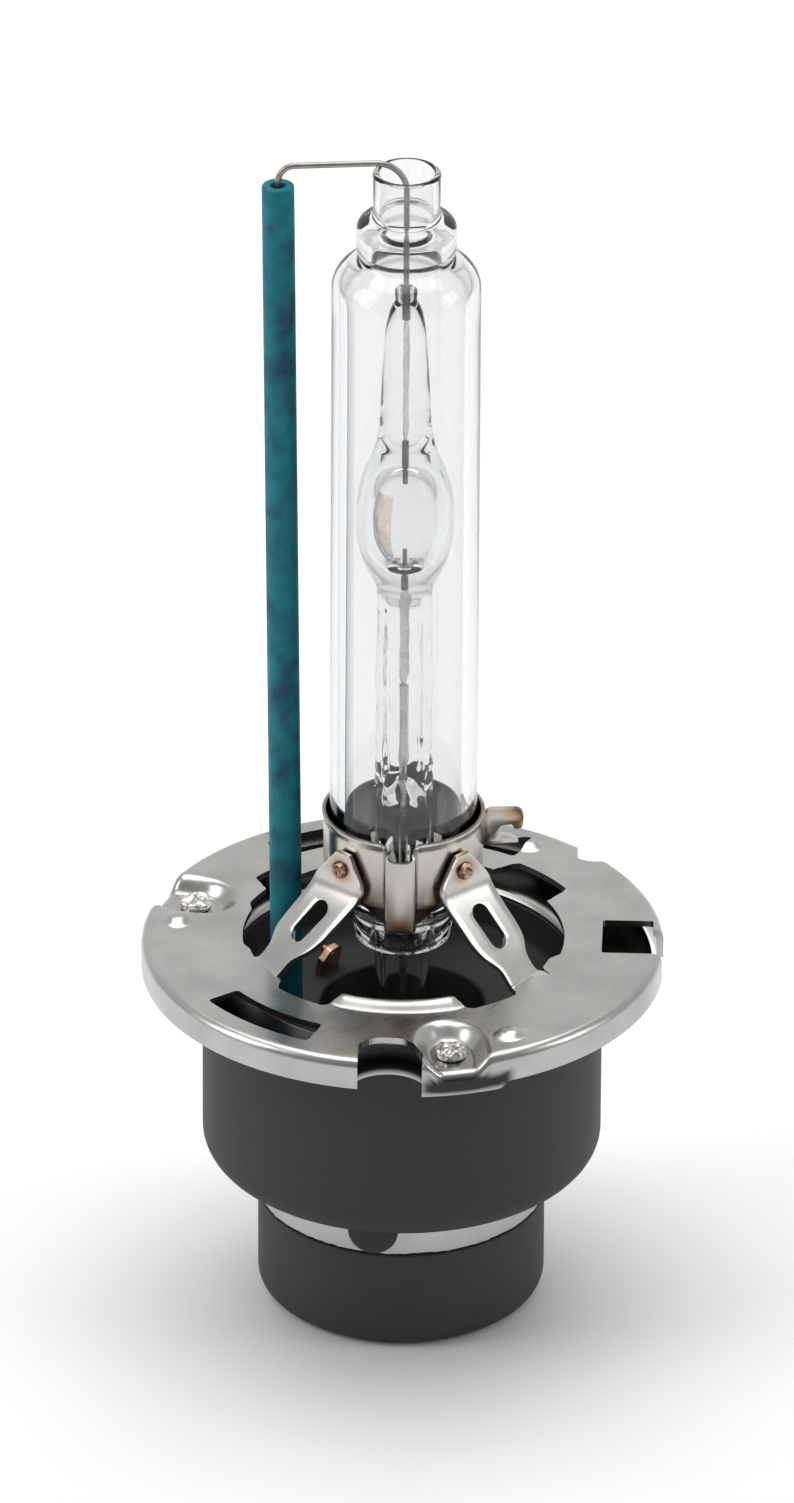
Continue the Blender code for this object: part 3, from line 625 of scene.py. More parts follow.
def connector_pin():
    """The grooved and dimpled centre pin in its plastic sleeve."""
    sleeve = turned("pin_sleeve", rounded((
        (SLEEVE_HIGH.x, SLEEVE_HIGH.z), (SLEEVE_HIGH.x, SLEEVE_LOW.z, 0.35),
        (PIN_R + 0.1, SLEEVE_LOW.z, 0.1), (PIN_R + 0.1, SLEEVE_HIGH.z),
    )), BARREL_PLASTIC, steps=64)
    piece(sleeve, "black_plastic", "contact_insulator")
    pin = turned("contact_pin", rounded((
        (PIN_HOLE_R, PIN_HIGH.z), (PIN_R, PIN_HIGH.z), (PIN_R, 4.0), (PIN_GROOVE_R, 3.8),
        (PIN_GROOVE_R, 3.5),
        (PIN_R, 3.3), (PIN_R, PIN_LOW.z, 0.5), (0.4, PIN_LOW.z, 0.15), (0.3, PIN_DIMPLE),
        (0.0, PIN_DIMPLE),
    ), closed=False), BRASS, is_closed=False, steps=64)
    piece(pin, "contact_brass", "center_contact")


def contact_band():
    """The steel band, with its uneven lower edge."""
    inner = BARREL_R - BAND_SHEET
    band = turned("contact_band_ring", rounded((
        (BARREL_R, BAND_HIGH.z), (BARREL_R, BAND_EDGE, 0.03), (inner, BAND_EDGE), (inner, BAND_HIGH.z),
    ), steps=2), BAND_STEEL, steps=240)
    for vertex in band.data.vertices:
        if vertex.co.z < (BAND_LOW.z + 0.5) * MM:
            angle = heading(vertex.co.x, vertex.co.y)
            broad = noise.noise(Vector((angle / 9.0, 1.3, 0.4)))
            fine = noise.noise(Vector((angle / 2.5, 5.0, 0.0)))
            vertex.co.z += 0.07 * MM * (broad + fine)
    piece(band, "contact_steel", "contact_band")


# ---------------------------------------------------------------- flange and claws

PAN_ANGLES = (-75.5, 160.5, 92.0)
PAN_R = 13.7
PAN_DEPTH = 0.9
SKIRT_DROP = 0.42
BUMP_ANGLES = (-60.0, 58.5, 174.5)
BUMP_PLACE_R = 13.9
BUMP_HEIGHT = 0.38
RIVET_HOLE_R = 0.55
LIP_ANGLE = -90.0          # the raised lip along the opening's front edge
LIP_HALF = 28.0
LIP_HEIGHT = 0.5
FLANGE_INNER_R = 8.6
FLANGE_CORNER = 0.4
PRESSED_ABOVE = 23.9       # the height that the whole face is above
CUT_LOW = 20.0             # the heights between which the cutters reach
CUT_HIGH = 26.0
CUT_OUTSIDE = 17.0
SIDE_NOTCH = (-1.65, 2.45)  # from Y, to Y
SIDE_NOTCH_REACH = 15.3
SIDE_NOTCH_TAB = 1.1
RIM_NOTCH = (              # X, Y and corner radius of the arched notch in the front rim
    (-2.15, -17.0), (1.75, -17.0), (1.75, -14.1, 0.6), (0.6, -12.9, 1.3), (-1.2, -12.75, 1.6),
    (-2.15, -13.6, 0.5),
)
BACK_NOTCH = (             # the same for the shallow notch in the rim at the back right
    (10.4, 15.0), (10.4, 10.3, 0.3), (11.3, 9.8, 1.5), (12.8, 10.2), (15.0, 11.5), (15.0, 15.0),
)
PLATE_BITE = (-0.3, -16.4, 2.5)   # X, Y and radius
LEGS = ((-34.0, -11.0), (-152.0, 20.5), (87.0, 0.0))   # root angle, and swing up to the tip
WELD_PLACE = (5.23, 30.9, 0.94)   # radius, height and share of the swing
WELD_FOOT_R = 5.44                # where the beads stand on the legs' outer faces
OPENING = (                # the central opening: from angle, to angle, radius
    (-168, -158, 9.5), (-157, -140, 9.3), (-137, -116, 10.1), (-113, -67, 9.0),
    (-64, -44, 10.1), (-42, -29, 9.3), (-28, -26, 10.35), (-24, -15, 9.4), (-12, 29, 9.9),
    (32, 55, 11.7), (58, 78, 10.1), (81, 93, 9.3), (96, 112, 10.1), (114, 133, 9.9),
    (135, 144, 11.6), (147, 160, 10.2), (162, 190, 9.8),
)
ARC_WINDOWS = ((-143, -111.4), (107, 128), (58, 73))
WINDOW = (12.2, 14.4)


def pan_bores(steps):
    """Cutters for the rivets' holes."""
    return [placed(plug("bore", RIVET_HOLE_R, CUT_LOW, CUT_HIGH, steps), standing(angle, PAN_R))
            for angle in PAN_ANGLES]


def opening_radius(angle):
    """The central opening's radius at an angle."""
    for start, end, radius in OPENING:
        if start <= (angle - start) % 360 + start <= end:
            return radius
    spans = sorted((min(angle_gap(angle, start), angle_gap(angle, end)), radius)
                   for start, end, radius in OPENING)
    return spans[0][1]


def opening_outline():
    """The opening's outline, with its steps rounded off over a few degrees."""
    points = []
    for k in range(480):
        angle = k * 0.75
        nearby = [opening_radius(angle + 0.45 * j) for j in range(-4, 5)]
        points.append(polar(sum(nearby) / len(nearby), angle))
    return points


def sector(inner, outer, start, end):
    """An arc-shaped window's outline with rounded corners."""
    count = 14
    sweep = [start + (end - start) * k / count for k in range(count + 1)]
    shape = [tuple(polar(inner, a)) for a in sweep] + [tuple(polar(outer, a)) for a in reversed(sweep)]
    for k in (0, count, count + 1, 2 * count + 1):
        shape[k] = (*shape[k], 0.25)
    return rounded(shape, steps=3)


def beside(x, y, radius, angle):
    """A place's distances along and across the circle from the point at a radius and an angle."""
    out = polar(1.0, angle)
    return y * out.x - x * out.y, x * out.x + y * out.y - radius


def flange_relief(x, y):
    """How far the flange's face is pressed up or down at a place."""
    lift = 0.0
    for angle in PAN_ANGLES:
        along_circle, across = beside(x, y, PAN_R, angle)
        across *= 0.5 if across > 0 else 0.8
        lift -= PAN_DEPTH * (1.0 - smooth(1.3, 2.4, math.hypot(along_circle, across)))
    for angle in BUMP_ANGLES:
        along_circle, across = beside(x, y, BUMP_PLACE_R, angle)
        lift += BUMP_HEIGHT * (1.0 - smooth(0.2, 0.95, math.hypot(along_circle / 1.25, across)))
    off = angle_gap(heading(x, y), LIP_ANGLE)
    rise = 1.0 - smooth(LIP_HALF - 8.0, LIP_HALF, off)
    return lift + LIP_HEIGHT * rise * (1.0 - smooth(9.0, 9.9, math.hypot(x, y)))


def skirt_drop(x, y):
    """How far the skirt's lower edge hangs down beside a pan."""
    gap = min(angle_gap(heading(x, y), pan) for pan in PAN_ANGLES)
    return -SKIRT_DROP * (1.0 - smooth(9.0, 12.0, gap))


def skirt_painted_shade(spot):
    """How much painted shade the skirt takes: a dark reflection painted low on the skirt, below the front
    pan.
    """
    near_pan = 1.0 - smooth(8.5, 11.5, angle_gap(heading(spot.x, spot.y), PAN_ANGLES[0] + 2.0))
    low_on_skirt = (1.0 - smooth(22.9, 23.25, spot.z)) * smooth(22.0, 22.12, spot.z)
    return near_pan * low_on_skirt * smooth(15.7, 15.95, math.hypot(spot.x, spot.y))


def flange_section():
    """The pressed sheet's middle line, as (radius, height): the face, the corner and the skirt."""
    top = FLANGE_TOP - SHEET / 2
    outer = FLANGE_R - SHEET / 2
    turn_r = outer - FLANGE_CORNER
    turn_z = top - FLANGE_CORNER
    path = [(FLANGE_INNER_R + (turn_r - FLANGE_INNER_R) * k / 52, top) for k in range(53)]
    for k in range(1, 7):
        turn = math.radians(15 * k)
        path.append((turn_r + FLANGE_CORNER * math.sin(turn), turn_z + FLANGE_CORNER * math.cos(turn)))
    path += [(outer, turn_z - (turn_z - FLANGE_LOW.z) * k / 4) for k in range(1, 5)]
    return path


def side_notch():
    """The stepped notch's outline in the flange's +X side."""
    low, high = SIDE_NOTCH
    tab = high - SIDE_NOTCH_TAB
    inner = WINDOW[0]
    return rounded(((inner, low, 0.2), (CUT_OUTSIDE, low), (CUT_OUTSIDE, tab), (SIDE_NOTCH_REACH, tab),
                    (SIDE_NOTCH_REACH, high, 0.15), (inner, high, 0.2)))


def flange():
    """The stamped disc: a pressed sheet with its skirt, then its windows and notches cut."""
    path = flange_section()
    columns = 540

    def point_at(row, column):
        radius, height = path[row]
        spot = polar(radius, 360.0 * column / columns)
        share = smooth(FLANGE_LOW.z, PRESSED_ABOVE, height)
        shift = flange_relief(spot.x, spot.y) * share + skirt_drop(spot.x, spot.y) * (1 - share)
        return (spot.x, spot.y, height + shift)

    disc = thicken(grid("flange_disc", len(path), columns, point_at, FLANGE_STEEL, wraps=True), SHEET)
    outlines = [opening_outline(), rounded(RIM_NOTCH), rounded(BACK_NOTCH)]
    outlines += [sector(*WINDOW, start, end) for start, end in ARC_WINDOWS]
    outlines.append(side_notch())
    disc = boolean(disc, [prism("cutter", outline, CUT_LOW, CUT_HIGH) for outline in outlines])
    disc = break_edges(boolean(disc, pan_bores(32)))
    # Painted shade: a dark reflection painted low on the skirt under the front pan.
    mark(disc, "shade", skirt_painted_shade)
    piece(disc, "stainless", "mounting_flange")


LEG_PATH = (               # radius, height, half width and share of the swing along the bent strip
    (10.6, 24.04, 1.9, 0.0), (9.5, 24.04, 1.5, 0.0), (9.0, 24.25, 1.3, 0.03), (8.4, 25.2, 1.3, 0.14),
    (7.8, 26.15, 1.85, 0.29), (7.25, 26.87, 2.0, 0.4), (6.7, 27.6, 2.0, 0.5), (6.1, 28.4, 2.0, 0.63),
    (5.5, 29.3, 2.0, 0.78), (5.25, 30.1, 1.85, 0.86), (5.23, 31.2, 1.1, 0.95), (5.23, 32.0, 0.5, 1.0),
)
LEG_SLOT_LOW = (7.35, 26.6, 0.37)
LEG_SLOT_HIGH = (6.3, 28.05, 0.61)
LEG_SLOT_R = 0.66
LEG_SHEET = 0.34


def leg_spot(root, swing, radius, height, share, side=0.0):
    """A point on a leg, which has made a share of its swing round the axis there."""
    turn = Matrix.Rotation(math.radians(root + swing * share), 3, "Z")
    return turn @ Vector((radius, side, height))


def leg_slot(root, swing):
    """The cutter for a leg's long slot, square to the leg."""
    low = leg_spot(root, swing, *LEG_SLOT_LOW)
    high = leg_spot(root, swing, *LEG_SLOT_HIGH)
    end = Vector(((high - low).length, 0))
    outline = [end + polar(LEG_SLOT_R, -90 + 15 * k) for k in range(13)]
    outline += [polar(LEG_SLOT_R, 90 + 15 * k) for k in range(13)]
    lead = (high - low).normalized()
    middle = (low + high) / 2
    through = lead.cross(Vector((-middle.y, middle.x, 0.0))).normalized()
    stand = Matrix((lead, through.cross(lead), through)).transposed().to_4x4()
    stand.translation = low * MM
    return prism("slot", outline, -1.5, 1.5, matrix=stand)


def leg(index, root, swing):
    """One claw leg: a bent, slotted strip from the flange up to the collar."""
    rows = 81
    columns = 9

    def point_at(row, column):
        radius, height, half_width, share = along(LEG_PATH, row / (rows - 1))
        side = half_width * (column / (columns - 1) * 2 - 1)
        return leg_spot(root, swing, radius, height, share, side)

    strip = thicken(grid("claw_leg_{}".format(index), rows, columns, point_at, LEG_STEEL), LEG_SHEET)
    strip = break_edges(boolean(strip, [leg_slot(root, swing)]), 0.08)
    tint(strip, [(leg_spot(root, swing, *WELD_PLACE), 1.6)])
    piece(strip, "stainless", "mounting_flange")


def rivets():
    """Rough weld-topped rivets in the pans."""
    head_low = FLANGE_TOP - PAN_DEPTH + 0.05
    head_r = 0.93
    shank_r = 0.45
    foot_r = 0.75

    def on_head(spot):
        return 0.8 * smooth(head_low, head_low + 0.25, spot.z)

    for i, angle in enumerate(PAN_ANGLES, start=1):
        node = "flange_rivet_{}".format(i)
        low, high = box_mm(node)
        foot = low.z + 0.35
        profile = rounded((
            (0.0, high.z - 0.1), (shank_r, high.z - 0.03, 0.3), (head_r, high.z - 0.16, 0.18),
            (head_r, head_low, 0.05), (shank_r, head_low), (shank_r, foot), (foot_r, foot),
            (foot_r, low.z, 0.2), (0.0, low.z),
        ), closed=False)
        rivet = turned("rivet_{}".format(i), profile, RIVET_STEEL, is_closed=False, steps=72)
        fine = rivet.modifiers.new("fine", "SUBSURF")
        fine.levels = 1
        fine.render_levels = 1
        rivet = settle(rivet)
        roughen(rivet, 0.3, 0.45, 3.0 + i, on_head)
        placed(rivet, standing(angle, PAN_R))
        piece(rivet, "contact_steel", node)


def leg_welds():
    """Coppery weld beads on the upright ends of the legs."""
    profile = rounded(((0.0, 0.1), (0.2, 0.12, 0.1), (0.34, 0.28, 0.1), (0.53, 0.16, 0.1), (0.55, 0.0),
                       (0.0, 0.0)), closed=False)
    outwards = Matrix.Rotation(math.radians(90), 4, "Y")
    height, share = WELD_PLACE[1:]
    for i, (root, swing) in enumerate(LEGS, start=1):
        bead = turned("weld_bead_{}".format(i), profile, WELD, is_closed=False, steps=64)
        roughen(bead, 0.09, 0.3, 7.0 + i, lambda spot: smooth(0.02, 0.15, spot.z))
        placed(bead, standing(root + swing * share, WELD_FOOT_R, height) @ outwards)
        piece(bead, "weld_metal", "leg_weld_{}".format(i))


def carrier():
    """The steel plate under the flange: painted shade on top, its cut edge left bright."""
    low, high = CARRIER_LOW.z, CARRIER_HIGH.z
    outer = CARRIER_HIGH.x
    plate = turned("carrier_plate", rounded((
        (outer, high, 0.05), (outer, low, 0.05), (10.4, low, 0.05), (10.7, high - 0.1, 0.1), (11.0, high),
    ), steps=3), PLATE_STEEL)
    x, y, reach = PLATE_BITE
    bite = placed(plug("bite", reach, CUT_LOW, CUT_HIGH, 96), Matrix.Translation((x * MM, y * MM, 0.0)))
    plate = break_edges(boolean(plate, pan_bores(24) + [bite]), 0.04)

    # Painted shade over the top face, in place of the shadow under the flange.
    def top_painted_shade(spot):
        return smooth(10.7, 10.95, math.hypot(spot.x, spot.y)) * smooth(high - 0.03, high - 0.005, spot.z)

    mark(plate, "shade", top_painted_shade)
    piece(plate, "stainless", "carrier_ring")


# ---------------------------------------------------------------- collar

RIB_ANGLE = -90.0
COLLAR_R = 4.75
COLLAR_SHEET = 0.26
COLLAR_SIDE_LOW = 29.6     # its lower edge away from the tongue
RIB_RISE = 0.46
EARS_ANGLE = 4.0
EARS_HALF = 0.28
EARS = (                   # distance from the axis, height and corner radius of the ears' outline
    (4.8, 30.6), (6.3, 30.62, 0.3), (7.15, 30.75, 0.08), (6.5, 31.15, 0.2), (5.9, 31.2, 0.2),
    (5.8, 31.95, 0.3), (6.6, 32.0, 0.15), (6.85, 31.65, 0.12), (7.25, 31.8, 0.25), (7.38, 32.98, 0.5),
    (5.3, 32.98, 0.4), (4.8, 32.7),
)


def rib_gap(angle):
    """How far round the collar a direction is from the middle of its rib."""
    return math.radians(angle_gap(angle, RIB_ANGLE)) * COLLAR_R


def collar_radius(angle, height):
    """The collar's middle radius, pressed outwards along its front rib."""
    rise = 1.0 - smooth(0.68, 1.02, rib_gap(angle))
    flare = 0.1 * smooth(COLLAR_HIGH.z - 0.5, COLLAR_HIGH.z, height)
    tuck = 0.45 * (1.0 - smooth(COLLAR_LOW.z, 28.9, height)) * (1.0 - rise)
    return COLLAR_R + RIB_RISE * rise + flare - tuck


def collar_edges(angle):
    """The collar's lowest and highest heights at an angle."""
    gap = rib_gap(angle)
    low = COLLAR_LOW.z + (COLLAR_SIDE_LOW - COLLAR_LOW.z) * smooth(0.75, 3.4, gap)
    return low, COLLAR_HIGH.z - (1.0 - smooth(0.4, 1.2, gap))


def inside_painted_shade(spot):
    """How much painted shade the collar takes: only on its inner face."""
    middle = collar_radius(heading(spot.x, spot.y), spot.z)
    return 1.0 - smooth(-0.06, 0.0, math.hypot(spot.x, spot.y) - middle)


def collar():
    """The thin band round the glass, with its tongue, rib and notch."""
    columns = 900
    rows = 30

    def point_at(row, column):
        angle = 360.0 * column / columns
        low, high = collar_edges(angle)
        height = low + (high - low) * row / (rows - 1)
        return (*polar(collar_radius(angle, height), angle), height)

    band = grid("collar_band", rows, columns, point_at, COLLAR_STEEL, wraps=True)
    band = break_edges(thicken(band, COLLAR_SHEET))
    spots = [(Vector((5.6, 0.3, 32.2)), 2.2), (Vector((*polar(4.9, RIB_ANGLE), COLLAR_LOW.z)), 2.2)]
    spots += [(leg_spot(root, swing, *WELD_PLACE), 1.8) for root, swing in LEGS]
    # These two spots low beside the rib are partly heat tint and partly painted shade, darkening the band
    # where the base below shades it.
    spots += [(Vector((*polar(4.7, RIB_ANGLE + side), 28.3)), 2.0) for side in (-30.0, 30.0)]
    tint(band, spots)
    # Painted shade on the band's inner face, in place of the shade inside it.
    mark(band, "shade", inside_painted_shade)
    piece(band, "stainless", "burner_collar")


def collar_ears():
    """The two ears of the band, welded flat together."""
    stand = standing(EARS_ANGLE) @ Matrix.Rotation(math.radians(90), 4, "X")
    ears = prism("collar_ears", rounded(EARS), -EARS_HALF, EARS_HALF, COLLAR_STEEL, matrix=stand)
    ears = break_edges(ears, 0.08)
    tint(ears, [(Vector((7.0, 0.4, 32.6)), 1.9)])
    mark(ears, "shade", lambda spot: 0.0)
    piece(ears, "stainless", "burner_collar")


# ---------------------------------------------------------------- glass and burner

GLASS_WALL = 0.95
NECK_HIGH = (              # radius and height down the quartz tube's outside, above the chamber
    (0.3, ARC_HIGH.z), (0.75, 67.6), (1.1, 66.6), (1.3, 65.0), (1.45, 62.0), (1.55, 60.0),
    (1.68, 58.8), (1.98, 57.6),
)
BULGE = (                  # round the chamber
    (2.55, 56.2), (2.9, 54.8), (CHAMBER_R - 0.02, CHAMBER_Z), (2.88, 51.8), (2.5, 50.4), (2.0, 49.3),
)
NECK_LOW = (               # below it
    (1.72, 48.5), (1.68, 47.3), (1.72, 44.0), (1.72, 40.0), (1.74, 36.6), (1.66, 35.2), (1.68, 34.0),
    (1.7, 32.0), (1.7, 24.0), (1.7, ARC_LOW.z + 0.1),
)
NECK_BORE = ((1.15, ARC_LOW.z), (1.1, ARC_LOW.z + 0.3), (1.1, 33.4), (0.9, 34.4), (0.5, 35.2), (0.0, 35.4))
CHAMBER_BORE_R = 1.95
CHAMBER_BORE_HALF = 3.35
CHAMBER_ENDS = (49.9, 56.6)
FOIL_HALF = 0.46
FOIL_SHEET = 0.03
ELECTRODE_R = 0.15
LOWER_LEAD_R = 0.25
UPPER_LEAD_R = 0.18


def envelope():
    """The clear outer glass with its shoulder, bead and stub."""
    inner = GLASS_R - GLASS_WALL
    profile = rounded((
        (2.05, GLASS_HIGH.z, 0.2), (2.0, 73.3, 0.4), (3.02, 73.0, 0.8), (3.02, 71.2, 0.3),
        (2.78, 70.6, 0.3), (GLASS_R, 69.6, 1.9), (GLASS_R, 27.8, 1.2), (3.35, 26.7, 0.5),
        (3.0, 26.0, 0.3), (3.0, GLASS_LOW.z, 0.5), (1.95, GLASS_LOW.z, 0.25),
        (1.9, 26.4, 0.5), (inner, 28.6, 1.4), (inner, 65.8), (inner, 68.7, 1.4), (2.1, 70.1, 0.6),
        (2.05, 71.9, 0.5), (1.65, 72.6, 0.5), (1.65, GLASS_HIGH.z, 0.17),
    ), steps=10)
    piece(turned("glass_envelope", profile, GLASS, steps=160), "outer_glass", "outer_glass")


def chamber_outline():
    """Half of the hollow chamber's outline, from the top down, flattened at both ends."""
    low, high = CHAMBER_ENDS
    points = [(0.0, high)]
    for k in range(1, 36):
        turn = math.pi * k / 36
        points.append((CHAMBER_BORE_R * math.sin(turn), CHAMBER_Z + CHAMBER_BORE_HALF * math.cos(turn)))
    return points + [(0.0, low)]


def pinch(tube):
    """Press the lower neck flat, where it is sealed on its foil."""
    for vertex in tube.data.vertices:
        spot = vertex.co / MM
        amount = smooth(35.0, 36.5, spot.z) * (1 - smooth(47.2, 48.6, spot.z))
        vertex.co.y *= 1.0 - 0.42 * amount * (1.0 - smooth(0.75, 1.4, abs(spot.x)))


def quartz():
    """The quartz arc tube: solid necks round the foils and a hollow chamber."""
    route = NECK_HIGH + BULGE + NECK_LOW
    outside = [(0.0, ARC_HIGH.z)] + [tuple(along(route, k / 240)) for k in range(241)]
    outside += NECK_BORE
    tube = turned("quartz_arc_tube", outside, QUARTZ, is_closed=False, steps=96)
    pinch(tube)
    roughen(tube, 0.3, 0.9, 2.0, lambda spot: smooth(33.0, 34.6, spot.z) * (1 - smooth(36.4, 38.6, spot.z)))
    roughen(tube, 0.12, 1.3, 5.0, lambda spot: smooth(38.0, 41.0, spot.z) * (1 - smooth(47.0, 48.6, spot.z)))
    roughen(tube, 0.05, 1.6, 8.0, lambda spot: smooth(59.0, 61.0, spot.z))
    chamber = turned("chamber", chamber_outline(), is_closed=False, steps=96)
    piece(boolean(tube, [chamber]), "quartz", "arc_tube")


def salt_deposit():
    """The amber film on the left of the chamber's wall."""
    columns = 40
    rows = 30

    def point_at(row, column):
        turn = math.radians(52 + 76 * row / (rows - 1))
        angle = 196 + 52 * column / (columns - 1)
        ripple = 0.018 * noise.noise(Vector((row / 6.0, column / 6.0, 2.0)))
        place = polar(1.88 * math.sin(turn) - 0.02 + ripple, angle)
        return (*place, CHAMBER_Z + 3.22 * math.cos(turn))

    piece(thicken(grid("salt_deposit", rows, columns, point_at, SALT), 0.03), "quartz")


def crumpled_foil(name, node, turn):
    """A thin foil with soft creases across it and narrowed ends."""
    low, high = box_mm(node)
    rows = 60
    columns = 9
    stand = Matrix.Rotation(math.radians(turn), 2)

    def point_at(row, column):
        share = row / (rows - 1)
        half = FOIL_HALF * min(1.0, 0.45 + 6 * min(share, 1 - share))
        across = half * (column / (columns - 1) * 2 - 1)
        crease = 0.04 * noise.noise(Vector((share * 9.0, across, 1.0)))
        return (*(stand @ Vector((across, crease))), low.z + (high.z - low.z) * share)

    piece(thicken(grid(name, rows, columns, point_at, FOIL), FOIL_SHEET), "molybdenum", node)


def round_bar(name, node, radius, finish, slot, tip=0.04):
    """A straight wire on the axis with eased ends."""
    low, high = box_mm(node)
    profile = rounded(((0.0, high.z), (radius, high.z, tip), (radius, low.z, tip), (0.0, low.z)),
                      closed=False)
    piece(turned(name, profile, finish, is_closed=False, steps=24), slot, node)


def burner_inside():
    """Electrodes, foils and straight leads."""
    crumpled_foil("foil_lower", "lower_foil", 60.0)
    crumpled_foil("foil_upper", "upper_foil", 78.0)
    round_bar("electrode_lower", "lower_electrode", ELECTRODE_R, TUNGSTEN, "tungsten", 0.06)
    round_bar("electrode_upper", "upper_electrode", ELECTRODE_R, TUNGSTEN, "tungsten", 0.06)
    round_bar("lead_lower", "lower_lead", LOWER_LEAD_R, FOIL, "nickel_wire")
    round_bar("lead_upper", "upper_lead", UPPER_LEAD_R, NICKEL, "nickel_wire")


# ---------------------------------------------------------------- return side

CERAMIC_HEAD = Vector((CERAMIC_LOW.x + CERAMIC_R, CERAMIC_FOOT.y, CERAMIC_HIGH.z))
CERAMIC_BORE_R = 0.45
RETURN_R = 0.19
BEAD_FOOT = 0.4            # how far the strap's weld bead starts below the strap's top


def bend(before, corner, after, radius, steps):
    """Points round a bend in the wire."""
    into = (corner - before).normalized()
    out = (after - corner).normalized()
    turn = into.angle(out)
    half = (math.pi - turn) / 2
    start = corner - into * radius / math.tan(half)
    end = corner + out * radius / math.tan(half)
    centre = corner + (out - into).normalized() * radius / math.sin(half)
    normal = into.cross(out).normalized()
    return [centre + Matrix.Rotation(turn * k / steps, 3, normal) @ (start - centre)
            for k in range(steps)] + [end]


def ceramic_tube():
    """The leaning ceramic tube at the side."""
    foot, head = CERAMIC_FOOT, CERAMIC_HEAD
    length = (head - foot).length - 0.02
    profile = rounded(((CERAMIC_R, length, 0.16), (CERAMIC_R, 0.0, 0.1), (CERAMIC_BORE_R, 0.0),
                       (CERAMIC_BORE_R, length, 0.1)))
    tube = turned("ceramic_sleeve", profile, CERAMIC, steps=72)
    lean = Matrix.Rotation(math.atan2(head.x - foot.x, head.z - foot.z), 4, "Y")
    placed(tube, Matrix.Translation(foot * MM) @ lean)
    piece(tube, "teal_ceramic", "ceramic_tube")


def return_wire():
    """The wire from the lead in the glass stub, over the top and down through the ceramic tube."""
    foot, head = CERAMIC_FOOT, CERAMIC_HEAD
    top = WIRE_HIGH.z - RETURN_R
    start = Vector((0.0, 0.0, LEAD_TOP + 0.05))
    over = Vector((0.0, 0.0, top))
    turn_down = Vector((head.x, head.y, top))
    entry = Vector((head.x, head.y, head.z - 0.6))
    end = Vector((foot.x, foot.y, WIRE_LOW.z + 0.05))
    route = [start] + bend(start, over, turn_down, 1.9, 16) + bend(over, turn_down, entry, 1.0, 10)
    route += [entry, foot, end]
    piece(wire("return_lead", route, RETURN_R, NICKEL), "nickel_wire", "return_wire")


def strap_weld():
    """The rough weld bead on the copper strap."""
    low, high = box_mm("stem_clip")
    centre = (low + high) / 2
    profile = rounded(((0.0, 0.3), (0.35, 0.26, 0.15), (0.5, 0.0), (0.0, 0.0)), closed=False)
    bead = turned("strap_weld", profile, COPPER, is_closed=False, steps=64)
    roughen(bead, 0.12, 0.4, 11.0, lambda spot: smooth(0.02, 0.2, spot.z))
    placed(bead, Matrix.Translation((centre.x * MM, centre.y * MM, (high.z - BEAD_FOOT) * MM)))
    piece(bead, "copper")


def carried_over():
    """A copper finish on the frame nodes that stay."""
    for node in ("stem_clip", "return_terminal"):
        item = frame["nodes"][node]
        for slot in item.material_slots:
            slot.material = COPPER
        if not item.material_slots:
            item.data.materials.append(COPPER)


# ---------------------------------------------------------------- studio

FOCAL_LENGTH = 354.7
CAMERA_AZIMUTH = math.radians(2.0)
CAMERA_ELEVATION = math.radians(28.3)
CAMERA_ROLL = math.radians(0.31)
CAMERA_DISTANCE = 0.9      # metres, like every other place in the studio
CAMERA_TARGET = Vector((-0.00041, 0.0, 0.03698))
LAMP_TARGET = Vector((0.0, 0.0, 0.04))
LAMPS = (                  # name, place, size and power
    ("overhead", (-0.02, 0.12, 0.75), (0.7, 0.6), 3.3),
    ("left", (-0.6, -0.15, 0.4), (0.3, 0.5), 1.5),
    ("right", (0.65, -0.1, 0.35), (0.25, 0.4), 0.8),
)
SURROUND = ((0.0, 0.26), (0.3, 0.4), (0.62, 0.62), (1.0, 0.8))   # greys from the front to the back


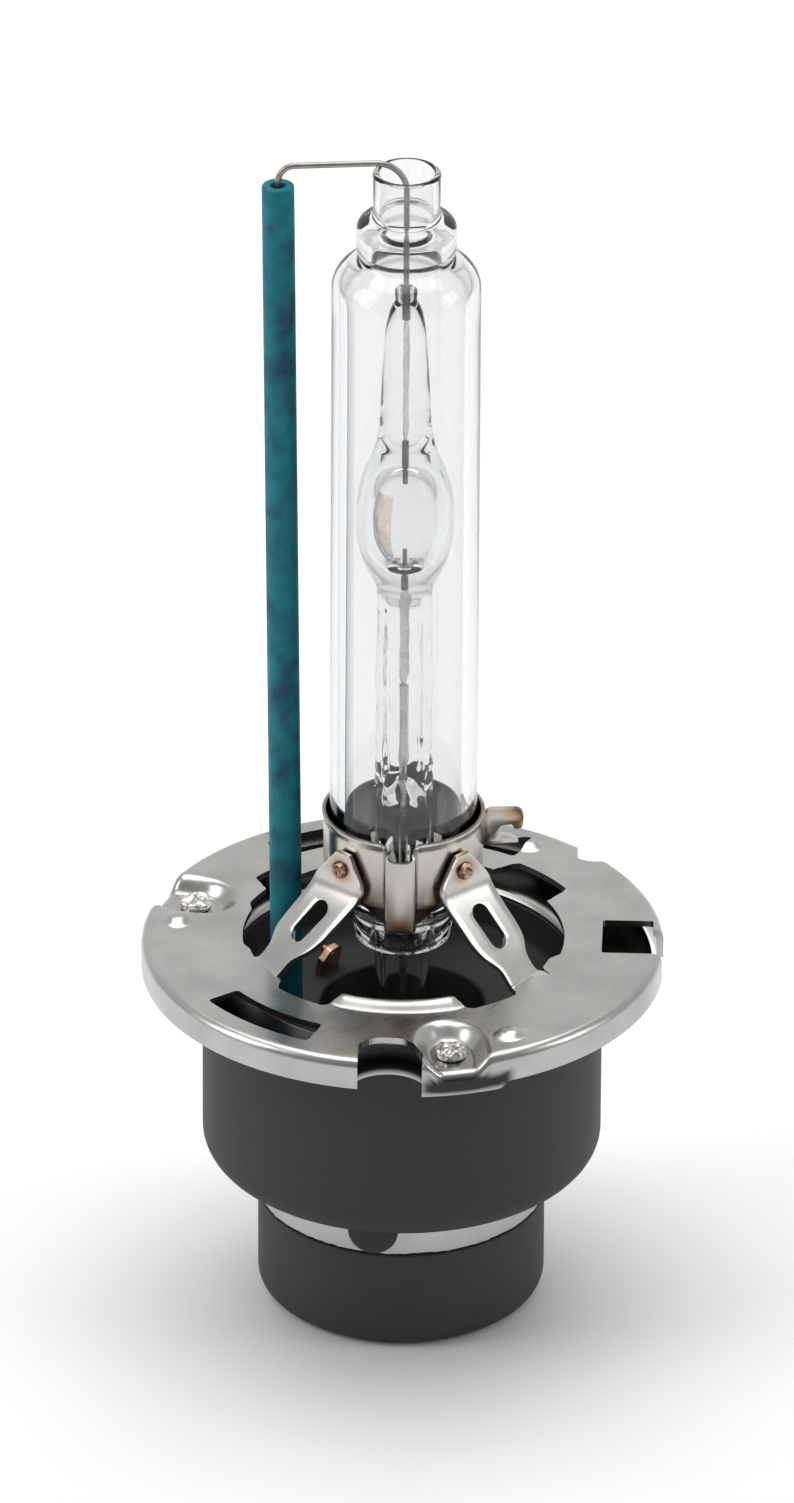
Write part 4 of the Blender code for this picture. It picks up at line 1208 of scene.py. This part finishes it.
def camera():
    """The long lens that looks down at the bulb."""
    data = bpy.data.cameras.new("camera")
    made = bpy.data.objects.new("camera", data)
    bpy.context.scene.collection.objects.link(made)
    data.lens = FOCAL_LENGTH
    data.sensor_width = 36.0
    data.clip_start = 0.05
    data.clip_end = 20.0
    level = math.cos(CAMERA_ELEVATION)
    back = Vector((math.sin(CAMERA_AZIMUTH) * level, -math.cos(CAMERA_AZIMUTH) * level,
                   math.sin(CAMERA_ELEVATION)))
    place = Matrix.Translation(CAMERA_TARGET + back * CAMERA_DISTANCE)
    look = (-back).to_track_quat("-Z", "Y").to_matrix().to_4x4()
    made.matrix_world = place @ look @ Matrix.Rotation(CAMERA_ROLL, 4, "Z")
    bpy.context.scene.camera = made


def pale_floor():
    """The wide, plain floor."""
    bpy.ops.mesh.primitive_plane_add(size=6.0)
    floor = bpy.context.object
    floor.name = "floor"
    floor.data.materials.append(floor_finish())


def lamps():
    """Soft rectangular lamps, aimed at the bulb."""
    for name, place, size, power in LAMPS:
        lamp = bpy.data.lights.new(name, "AREA")
        lamp.shape = "RECTANGLE"
        lamp.size, lamp.size_y = size
        lamp.energy = power
        made = bpy.data.objects.new(name, lamp)
        bpy.context.scene.collection.objects.link(made)
        made.location = place
        made.rotation_euler = (LAMP_TARGET - Vector(place)).to_track_quat("-Z", "Y").to_euler()


def surround():
    """The studio's even light, dimmer from the front than from the back."""
    world = bpy.data.worlds.new("studio")
    bpy.context.scene.world = world
    world.use_nodes = True
    nodes = world.node_tree.nodes
    links = world.node_tree.links
    coords = nodes.new("ShaderNodeTexCoord").outputs["Generated"]
    ramp = nodes.new("ShaderNodeValToRGB")
    for place, grey in SURROUND:
        element = ramp.color_ramp.elements.new(place)
        element.color = (grey, grey, grey * 1.01, 1)
    links.new(along_y(nodes, links, coords, -1.0, 1.0), ramp.inputs["Fac"])
    links.new(ramp.outputs["Color"], nodes["Background"].inputs["Color"])
    nodes["Background"].inputs["Strength"].default_value = 0.9
    bpy.context.scene.view_settings.view_transform = "Standard"


camera()
pale_floor()
lamps()
surround()
cup()
barrel()
connector_pin()
contact_band()
flange()
for number, (root_angle, tip_swing) in enumerate(LEGS, start=1):
    leg(number, root_angle, tip_swing)
rivets()
leg_welds()
carrier()
collar()
collar_ears()
envelope()
quartz()
salt_deposit()
burner_inside()
ceramic_tube()
return_wire()
strap_weld()
carried_over()
